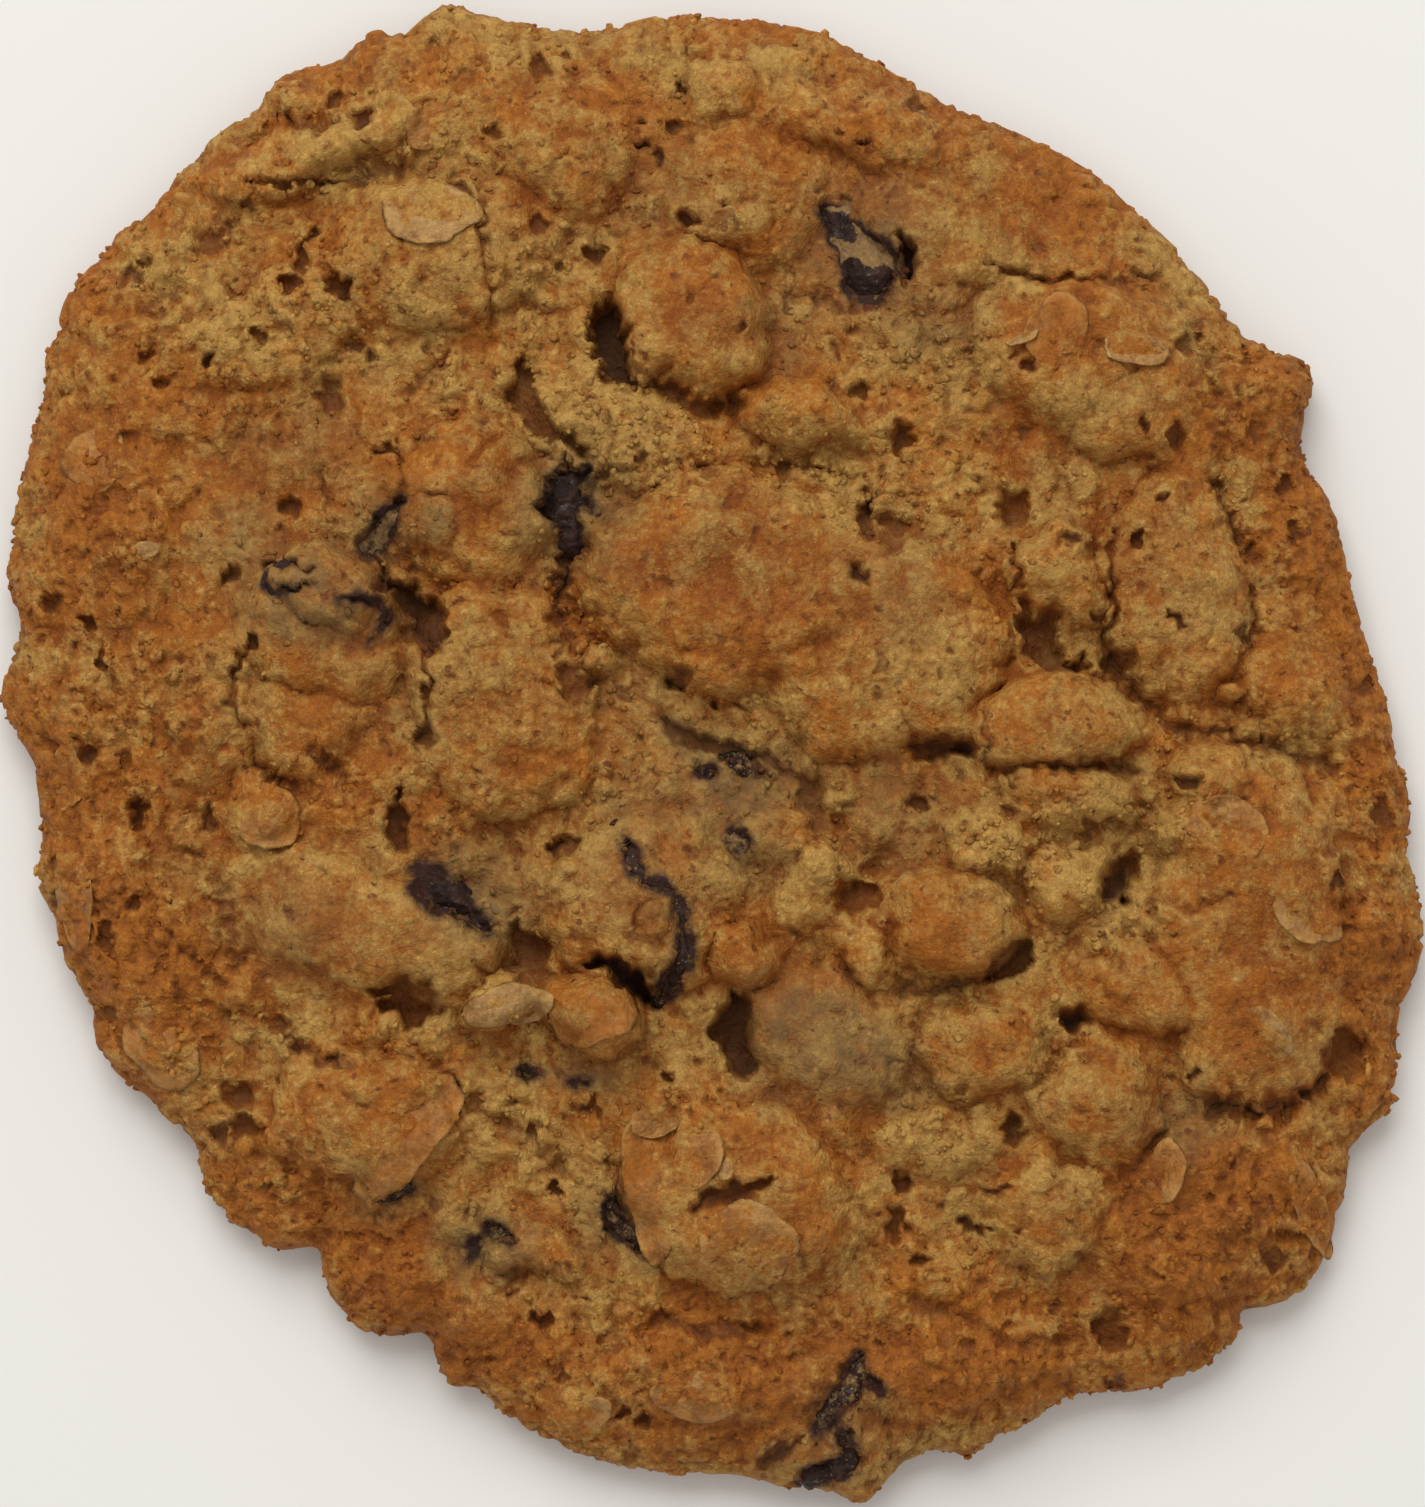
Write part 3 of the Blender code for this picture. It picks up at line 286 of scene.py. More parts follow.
PITS = each(
    Pit,
    (-7, 27.6, 1.1, 2.5, 4, 2.8, 0.85), (-19.8, 8.8, 1.45, 2, 36, 2, 0.8),
    (-25.4, 23.4, 0.8, 1.4, 0, 1.1, 0.6), (-9.1, 4.5, 1.2, 1.3, 0, 1.6, 0.6),
    (-2.4, 4.8, 0.85, 0.65, 0, 1.6), (11.7, 14.2, 0.95, 1.4, 0, 1, 0.45),
    (19.8, 15.9, 1.1, 1.3, 30, 1.5, 0.6), (21.6, 7.6, 0.85, 2, -26, 1.9, 0.8),
    (26.6, 5.6, 1.3, 0.9, 20, 1.9, 0.8), (15, 0.2, 2.2, 0.7, 4, 2.2),
    (12.3, 20.7, 0.7, 0.95, 0, 1.6), (27, -8, 1.4, 1.1, 30, 2.2, 0.8),
    (9.4, -9.7, 1.5, 1.3, 0, 1.9, 0.6), (19.3, -14.1, 1.6, 0.9, 24, 1.9, 0.8),
    (23.7, -18, 0.95, 1.1, 0, 2, 1), (19.8, -25, 0.9, 0.9, 0, 1.7),
    (41.6, -20.3, 1.5, 1.7, 0, 1.7, 0.6), (-20, -16.3, 2.1, 1.2, -24, 1.9, 0.8),
    (-31.2, -23, 0.9, 1, 0, 1.4, 0.8), (-31, -25.2, 1.1, 0.7, 0, 1.4, 0.8),
    (-38.1, -4.5, 0.7, 0.95, 0, 1.7), (12.4, -28.7, 0.65, 0.8, 0, 1.3, 0.8),
    (12, -31.3, 0.65, 1.35, 10, 1.4, 0.8), (17.1, -31.6, 1.05, 0.45, -24, 1.4),
    (26.3, -38.6, 1, 1.3, 0, 1.3, 0.6), (1, -29.5, 2.1, 0.7, 12, 1, 0.7),
    (1.5, -18.6, 1.3, 2.4, 10, 1.5, 0.6), (-12.4, -14, 1.5, 2.2, 24, 1.9, 0.7),
    (12.8, 32.2, 0.6, 1.6, -6, 2), (-11.6, 45.2, 0.75, 0.75, 0, 1, 0.6),
    (-5.4, -15, 1.3, 0.8, 0, 1.9), (44.4, -4.5, 0.6, 1.3, 14, 0.8, 0.8),
    (-20.8, -4.7, 0.55, 1.55, 0, 1.5), (-23.3, 41.6, 0.7, 0.55, 0, 1.3), (-25.1, 43, 0.45, 0.4),
    (-22.9, 38.2, 0.35, 0.65, 0, 1.2), (-31.1, 36.4, 0.6, 0.4), (-16.8, 37, 1, 0.5, -42, 1.3),
    (-26.8, 34, 0.45, 0.5), (-28, 30.6, 0.7, 0.7, 0, 1.6), (-24.6, 30.4, 0.85, 0.7, -20, 1.7),
    (-27.4, 32.3, 0.4, 1.05, 0, 1.1, 0.8), (-38.8, 31.4, 0.65, 0.55), (-38, 32.4, 0.4, 0.4),
    (-33.4, 25.5, 0.5, 0.7, 0, 1.3), (-30, 27.2, 0.45, 0.4), (-23.9, 26.8, 0.5, 0.4),
    (-22.8, 26, 0.4, 0.35), (-36.8, 24.2, 0.55, 0.45), (-37.8, 25.7, 0.4, 0.4),
    (-14.5, 40.8, 0.5, 0.65, 0, 1, 0.6), (-11.5, 34.5, 0.7, 0.55, 0, 1, 0.6),
    (-7.9, 32.7, 0.75, 0.5, 20, 1.1), (-4.8, 41.3, 0.45, 0.4), (-2.7, 41.2, 0.55, 0.45),
    (-4.8, 39.9, 0.45, 0.35), (-3.8, 39.2, 0.4, 0.3, -30), (-2.1, 43.7, 0.4, 0.45),
    (-1.9, 34.9, 0.7, 0.6, 0, 1.3), (0.7, 34.9, 0.4, 0.4), (-1.1, 22.7, 0.8, 0.55, 0, 1.2, 0.7),
    (1.6, 27.7, 0.4, 0.45, 0, 0.6, 0.6), (-4.8, 19, 0.4, 0.45),
    (-21.8, 19.7, 0.8, 0.4, 10, 1, 0.8), (-28.1, 16, 0.8, 0.65, 0, 1.2, 0.8),
    (-32.1, 11.7, 0.45, 0.65), (-43.8, 9.7, 0.55, 0.65), (-40.5, 5.3, 0.4, 0.6, 40),
    (-30.6, 7, 0.35, 0.55, 0, 1.3), (-41.5, 8.3, 0.65, 0.3, -20), (-18.9, 0.8, 0.75, 0.6, 0, 1.5),
    (-18.9, 3.7, 0.45, 0.45), (-0.1, 3, 0.4, 0.35), (-10.1, 7, 0.5, 0.4),
    (13.5, 42.6, 0.75, 0.45, -20), (10, 40, 0.5, 0.3), (9.7, 23.7, 0.8, 0.5, 0, 1.2, 0.8),
    (4.9, 18.6, 0.6, 0.4, 30, 1, 0.8), (10, 15.2, 0.45, 1.3, 4, 2.2),
    (9.6, 11.3, 0.55, 0.65, 0, 1.4), (23.3, 13.8, 0.85, 0.45, 20, 1.1, 0.8),
    (27.9, 13.8, 0.3, 0.65, -20, 1.1), (29.5, 16.3, 0.5, 0.4), (30.6, 20.7, 0.4, 0.65),
    (28.2, 21.2, 0.35, 0.4), (20.7, 25.2, 0.5, 0.35), (31.5, 26.8, 0.75, 0.55, 0, 1, 0.7),
    (38, 17.2, 0.55, 0.55), (26.3, 6.3, 0.8, 0.45), (24.9, 8.9, 0.45, 0.4),
    (30.4, 8.4, 1, 0.35, -45, 0.9), (35, 7.4, 0.45, 0.65, 0, 1.1),
    (31.2, -2.3, 0.7, 0.4, -30, 1.1), (19.5, -4.3, 0.45, 0.6),
    (13.3, -3.6, 0.75, 0.6, 0, 1.1, 0.7), (-38.9, -0.9, 0.35, 0.65), (-41.3, -0.5, 0.4, 0.5),
    (-33.4, -4.7, 0.45, 0.9, 0, 1, 0.7), (-38.5, -10.5, 0.5, 0.4),
    (-40.2, -12.8, 0.55, 1.1, 0, 1, 0.7), (-43.5, -10.2, 0.5, 0.65), (-32.8, -25.8, 0.4, 0.6),
    (-27.5, -19.9, 0.65, 0.4, -20, 1.1), (-24.8, -20.8, 0.7, 0.35, -30),
    (-12.2, -21.2, 0.4, 0.7, 30, 1.1), (-10.4, -28.8, 0.65, 0.3, -50, 1.1),
    (-12, -25.3, 0.5, 0.6), (-3.1, -21.6, 0.6, 0.55), (-11.6, -37.8, 0.8, 0.45),
    (-4.7, -44.6, 0.55, 0.4), (-5.9, -44, 0.45, 0.35), (-14.2, -32, 0.65, 0.3, -20),
    (26, -9.5, 0.5, 0.55, 0, 1.6), (31.7, -21.7, 0.5, 0.5),
    (18.7, -29.2, 0.95, 0.4, 30, 1.1, 0.8), (13.8, -33.5, 0.6, 0.5),
    (39.2, -29, 0.5, 1, -20, 1.1, 0.9), (37, -34, 0.65, 0.7, 0, 1, 0.8), (26.7, -42.2, 0.55, 0.5),
    (41, -8.7, 0.45, 0.7, 0, 1.1), (24.6, -5.2, 0.45, 0.4), (38.6, 14.3, 0.55, 0.65, 0, 0.9, 0.7),
    (43.3, 4, 0.5, 0.7, 0, 0.9), (-8.4, -23.4, 0.75, 0.25, 20, 0.8),
    (-7.6, -24, 0.25, 0.5, 20, 0.8), (-21.2, -16.9, 0.7, 0.5, 0, 2.2),
    (-40.4, -17.6, 0.65, 0.45, 0, 0.9, 0.7), (-39, -19.6, 0.35, 0.5),
)

CRACKS = each(
    Crack,
    (((-24, 38), (-20, 38.5)), 0.7, 1.1), (((-34.5, 33), (-32, 34.5)), 0.6, 0.8),
    (((-38, 29), (-35.5, 30.2)), 0.5, 0.7),
    (((-20.5, 23.5), (-18.5, 25.3), (-17.3, 26.5)), 0.4, 0.7),
    (((-12.8, 25.3), (-12.5, 23), (-11, 21), (-8.5, 19.8)), 0.8, 1.7, 0.6),
    (((-5.5, 25.7), (-3.5, 24), (-1, 22.5), (1.5, 22.8)), 0.7, 1.6),
    (((-9.3, 14), (-10, 11.5), (-10.2, 9), (-9.6, 7)), 0.7, 2),
    (((3, -1), (6, -2), (7.5, -4.5), (9.5, -6.5), (11, -8)), 1.4, 1.3, 0.15),
    (((26, 6), (28.5, 3), (30.5, 1.2), (34, 1), (38.5, -0.5), (41, -1.5)), 0.6, 1.4),
    (((18.4, -1.4), (22, -1.1), (26, -0.8), (27.6, -1.5)), 0.35, 1.1),
    (((33, -23.8), (36, -24), (38.5, -23.5), (40.5, -22)), 0.7, 1.6, 1),
    (((12, -15.8), (15, -15.8), (18, -15)), 0.6, 1.3, 0.6),
    (((13, -36.5), (16, -37.5), (19, -39), (22, -39.8), (24, -39.3)), 0.6, 1, 0.5),
    (((-18, -21), (-16, -23.5), (-13, -25.5), (-9, -28.5)), 0.6, 1.1, 0.5),
    (((26, 31), (29, 31)), 0.5, 1.1),
    (((33.1, 17.5), (33.8, 16), (34.5, 14.2), (35.5, 12.7)), 0.5, 1.3, 1),
    (((-32.8, -8.5), (-32, -12), (-31.5, -14.5)), 0.7, 1, 0.5),
    (((-36, -12.5), (-34, -14.5), (-32.5, -16)), 0.4, 0.7),
    (((-29, -18), (-27.5, -19.8), (-25.5, -20.8), (-24, -20.8)), 0.5, 0.9),
    (((-4, -37.5), (0, -38.6), (3, -38.2)), 0.5, 0.9),
    (((-5.8, 7), (-5, 3.7), (-1.5, 1)), 0.5, 0.6, 0.4), (((-14, -34.8), (-9.5, -34.5)), 0.4, 0.8),
    (((-30.4, -0.9), (-29, -1.9), (-27.6, -2.6)), 0.5, 1),
    (((-26.6, -0.3), (-25.4, -0.8), (-24.5, -1.7)), 0.45, 1),
    (((-36, 0), (-33, 2.6), (-30.6, 1.6)), 0.35, 0.6, 0.4),
    (((5, 30), (7.4, 29.6), (9.5, 29)), 0.35, 0.8),
    (((35.2, 23), (33.4, 21.4), (33.6, 19)), 0.5, 0.6, 0.5),
)

PATCHES = {
    Zone.TOAST: each(
        Patch,
        (-1.5, 29, 3.4, 3.4), (-14, 4, 3.2, 3.8, 0, 0.5), (-35, -5, 3.2, 3.6, 0, 0.5),
        (20, 20, 3.5, 3.5, 0, 0.75), (13, 36, 5, 3, -30, 0.5), (37, -13, 5, 6, 0, 0.75),
        (-21, -12.5, 6, 3, 0, 0.4), (-14.8, 17.6, 2.4, 3.6, -14), (1.5, 16.6, 1.8, 2),
        (-14.4, 8.7, 1.4, 1.2), (23, 27.5, 2.6, 3), (-4.6, -11, 1.6, 1.6),
        (-41, 19, 3, 3.4, 0, 0.8), (16.5, -11, 3, 2.4, 0, 0.7), (-8, 43, 6, 4, 0, 0.4),
        (28, -27.5, 2, 2.6, 0, 0.9), (-28, 19.5, 6, 4, 0, 0.8), (-5, 12, 4, 4),
        (-20, -4, 5, 3.5, 0, 0.6), (28, 13, 4.5, 4, 0, 0.8), (36.5, 20, 4, 5, 0, 0.5),
        (-12, 36, 4, 3, 0, 0.7), (-18, -37, 6, 4, -30, 0.7), (4, -38.5, 7, 3, 0, 0.5),
        (1.5, 11.5, 8.5, 5.5, -10, 0.85), (28.5, -17.5, 3.6, 2.6, 0, 0.45),
        (25.5, -23.3, 4, 3.4, -20, 0.6), (20, 36, 4, 3, -30, 0.7), (-12, -3, 3.5, 3.5, 0, 0.5),
        (28, -36, 4, 3, 0, 0.5), (-44, -3, 2.5, 4, 0, 0.6),
    ),
    Zone.CRUMB: each(
        Patch,
        (28.3, -15.5, 2.6, 2.3, 0, 0.7), (-30, 35, 3.4, 3, 0, 0.6), (-5, 21.5, 8, 4.6, -20),
        (-28.5, 28.5, 8.5, 3.6, 16, 0.9), (14, 26, 5, 3, -10), (25.6, -11.5, 3, 3, 0, 0.8),
        (20, -6, 6, 3.5, -14, 0.9), (13.5, -24.5, 4.5, 3, 0, 0.9), (-12.5, 31.5, 4, 4.5, 0, 0.7),
        (-8, 6, 3, 3, 0, 0.7), (8, 17, 4, 3, 0, 0.6), (22, -20, 3, 2, 0, 0.8),
        (8.5, -7, 3, 2, 0, 0.6), (-38, 2, 3, 6, 0, 0.5), (-10, -26, 5, 4, -40, 0.5),
        (-13.5, -16.8, 3.4, 1.8, 4, 0.8), (31, -5, 5, 3, -24, 0.7), (28, -11.5, 3, 1.6),
        (-28, 36, 4.5, 3, 20, 0.8), (-16, 44, 6, 2.4, 0, 0.5), (12, 43.5, 4, 2, 0, 0.5),
        (4, 19.5, 4, 2.6, 0, 0.6), (-19.5, 12, 2.6, 2.4, 0, 0.7), (4, -20, 4, 3, 0, 0.5),
        (-12, -19.5, 4, 2, 0, 0.6),
    ),
    Zone.STAIN: each(
        Patch,
        (10, 33, 4.5, 5, 20), (-9.3, 16, 3.6, 4.6, 0, 0.9), (-26, 10, 6, 3.8, -14),
        (-22, 14.5, 3.4, 3, 40, 0.7), (-15.5, -9.5, 4.5, 3.5, -34), (-5, -8, 5, 4.5, 0, 0.5),
        (1.5, -2.6, 5, 3.4), (2, -6, 3, 3, 0, 0.8), (6.5, -19, 6.5, 4.2, -20),
        (11.5, -21.5, 3, 2), (-9, -21.3, 3.6, 1.8, 0, 0.8), (-6, -31.5, 3, 2.4, -50, 0.8),
        (-21, -29.5, 3, 2, 0, 0.8), (-15, -32.8, 3.6, 2.4), (8.5, -44.5, 3.6, 4.6, -20, 0.6),
        (4.2, -47.2, 2.2, 1.6), (-28, -12, 4.6, 4, 0, 0.5), (31, -25, 3.5, 2.5, 0, 0.7),
        (-0.5, 0.6, 4.6, 1.6, -22), (-18.4, 15, 1.8, 2.2, 0, 0.8), (-3.5, 2, 6, 3, -20, 0.4),
        (14, 28.5, 5, 2.5, 0, 0.65), (-4, 37, 4, 4, 0, 0.45), (4.5, 28, 3, 3, 0, 0.5),
        (-28, 20, 5, 3, 0, 0.3), (-30.5, 13.5, 3.5, 2.5, 0, 0.6), (12, 11.5, 4, 4, 0, 0.45),
        (-20, 4, 4, 4, 0, 0.3), (-4, -3.5, 4, 2.6, 0, 0.6), (12, -4, 3.6, 3.6, 0, 0.6),
    ),
    Zone.RIM: each(
        Patch,
        (-28, 44.5, 10, 2.5, 25, 0.35), (44.5, -3, 3, 7), (-40, 8, 6, 18, 0, 0.8),
        (-38, -14, 6.5, 13, 26), (-26, -32, 12, 5, -40, 0.9), (-4, -42, 16, 5, -6, 0.9),
        (18, -40.5, 14, 5, 16, 0.9), (34, -32, 9, 9, 45), (43, -14, 3.5, 10, 0, 0.8),
        (41, 12, 4, 14, 20), (-37, 32, 10, 3.5, 46, 0.4), (9, 39, 5, 3, -20, 0.4),
        (4, -37, 5, 3, 0, 0.6), (-20, -37, 4, 3, 0, 0.8),
    ),
    Zone.SMOOTH: each(
        Patch,
        (2, 11, 8, 5, -10, 0.7), (-15.6, 17.6, 3, 3, 0, 0.9), (28.5, -16.5, 4, 3.6, 0, 0.8),
        (25.5, -23.3, 4.4, 3.8, -20, 0.5), (35.5, -14, 6, 9, 4, 0.7), (20, 36.5, 12, 4.5, -38),
        (-1.5, 28, 4.5, 5, 0, 0.9), (-23, -12, 9, 4, -14, 0.8), (15, -11, 4, 3, 0, 0.9),
        (22.5, 1, 5.5, 3, 0, 0.9), (3, -31, 6, 5, 0, 0.8), (25, 22, 7, 4, -10, 0.5),
        (7, -19, 6, 4, -20, 0.6), (-8, -17.2, 3.4, 2.6, 0, 0.8),
    ),
}

CUTS = each(
    Cut,
    (((-21.9, 11, 0.3), (-20.4, 10.2, 0.6), (-18.9, 8.9, 1.2), (-18.6, 7.3, 0.9)), 3, 0.9),
    (((-7, 29.2, 0.7), (-7, 27, 1.2), (-6.6, 25.2, 0.8), (-5.6, 24.4, 0.4)), 3.4, 0.95),
    (((-13, 25.6, 0.3), (-12.6, 23.4, 0.8), (-11.2, 21.2, 0.7), (-8.8, 19.8, 0.4)), 2.2, 0.7),
    (((12.3, 33.7, 0.3), (13.1, 32.5, 0.45), (12.9, 31.2, 0.35)), 2.8, 1),
    (((-7.9, -14.1, 0.35), (-6.3, -14.2, 0.6), (-5.3, -15.1, 0.8), (-4.2, -16.4, 0.5)), 2.6, 1),
    (((-10.5, -6.8, 0.55), (-9.7, -6.2, 0.5)), 1.8),
    (((-12.9, -11.9, 0.6), (-12, -13.6, 1.3), (-12.4, -14.9, 0.8)), 2, 0.6),
    (((-22.2, -15.9, 0.3), (-20.6, -16.1, 0.8), (-19.6, -17.4, 0.9)), 2.2, 0.6),
    (((-20.8, -3.2, 0.3), (-20.9, -4.6, 0.5), (-20.8, -6.2, 0.5)), 2),
    (((1.6, -16.6, 0.6), (1.1, -18.4, 1.1), (2, -20.6, 0.9)), 2.6, 0.9),
    (((-1.3, -30.1, 0.3), (0.6, -29.4, 0.6), (3.4, -28.4, 0.3)), 1.3, 0.9),
    (((-6.6, -27, 0), (-6, -30, 0.3), (-4.8, -32.8, 0.1)), 1.2, 0.5),
    (((13.2, 0.2, 0.3), (15, 0.3, 0.6), (17, 0.1, 0.4)), 2.2, 0.9),
    (((20.4, 9.6, 0.4), (20.9, 7.4, 0.7), (22, 6, 0.8), (24, 5.6, 0.4)), 2, 0.7),
    (((26.9, -8.6, 0.9), (26.1, -9.6, 0.7)), 2.2, 0.95),
    (((18.2, -14.8, 0.5), (20.2, -13.4, 0.9)), 2.2, 0.6),
    (((5.4, -46.1, 0.25), (4.3, -46.8, 0.6), (3.3, -47.4, 0.45)), 0.9, 0.9),
    (((10.5, -48.6, 0.2), (10.3, -49.3, 0.25)), 0.8, 0.9),
    (
        (
            (-9, 13.9, 0.2), (-9.5, 12.5, 0.35), (-9.8, 11.2, 0.35), (-10.3, 9.2, 0.3),
            (-9.7, 7.8, 0.1),
        ),
        2, 1,
    ),
    (
        (
            (-3.6, 2.3, 0.3), (-1.8, 0.8, 0.5), (1, 0, 0.6), (3.6, -0.6, 0.5), (5.8, -2, 0.5),
            (7, -4.8, 0.7),
        ),
        1.4, 0.75,
    ),
    (((-20.9, 20.8, 0), (-20.6, 18.6, 0.2), (-20.3, 16.6, 0.1)), 1.1, 0.4),
    (((-19.3, 6.6, 0), (-18.7, 4.8, 0.15), (-18.6, 2.8, 0.1), (-18.9, 0.9, 0.3)), 1.2, 0.7),
    (((-30.6, 6.4, 0.1), (-31.6, 4.8, 0.3), (-31.9, 3.2, 0.35), (-31.2, 1.8, 0.1)), 1.2, 0.6),
    (((-22.4, 12.6, 0), (-21.4, 11.4, 0.2), (-20.6, 10.4, 0.2)), 1.6, 0.7),
    (((-29.9, 12.2, 0.1), (-28.6, 12.1, 0.3), (-27.4, 11.8, 0.25), (-26.3, 11.6, 0)), 1.3, 1),
    (((-31.6, 37.2, 0.1), (-28.4, 37.3, 0.3), (-24.8, 37.6, 0.1)), 1.4, 0.6),
    (((-29.4, 42.4, 0), (-26.6, 41, 0.35), (-25, 41.4, 0)), 1.3, 0.7),
    (((-15.4, 37.5, 0), (-15.2, 33.5, 0.2), (-14.6, 30, 0.2), (-15, 26.6, 0)), 0.9, 0.4),
    (((17.8, 32, 0), (20.6, 31.2, 0.25), (23.4, 30.8, 0.1), (25.8, 30.6, 0)), 1.3, 0.6),
    (((26.2, 14.4, 0), (26.4, 11.5, 0.25), (26.2, 8.4, 0.3), (25.8, 6.6, 0.2)), 1.2, 0.6),
    (((19.6, 13.4, 0.1), (19.9, 10.8, 0.3)), 1.4, 0.6),
    (((34.6, 12, 0), (35.9, 9.2, 0.2), (35.6, 6.4, 0.1)), 1, 0.5),
    (((10, 17.2, 0.1), (10, 14.2, 0.35)), 1.6, 0.9),
    (((3.5, 18.6, 0), (6.5, 18.9, 0.2), (9.5, 18, 0)), 1, 0.4),
    (((-8.9, 16.2, 0), (-7.4, 18, 0.15), (-4.5, 18.6, 0)), 1, 0.5),
    (((-26, 18.4, 0.1), (-25.8, 17.2, 0.2), (-25.6, 15.8, 0.05)), 0.9, 0.6),
    (((28.4, -9.9, 0.1), (31, -10.6, 0.15), (34, -9.6, 0.1)), 0.6, 0.3),
    (((17.6, 2.6, 0), (18, -1, 0.2), (20, -2.2, 0.1)), 0.9, 0.5),
)

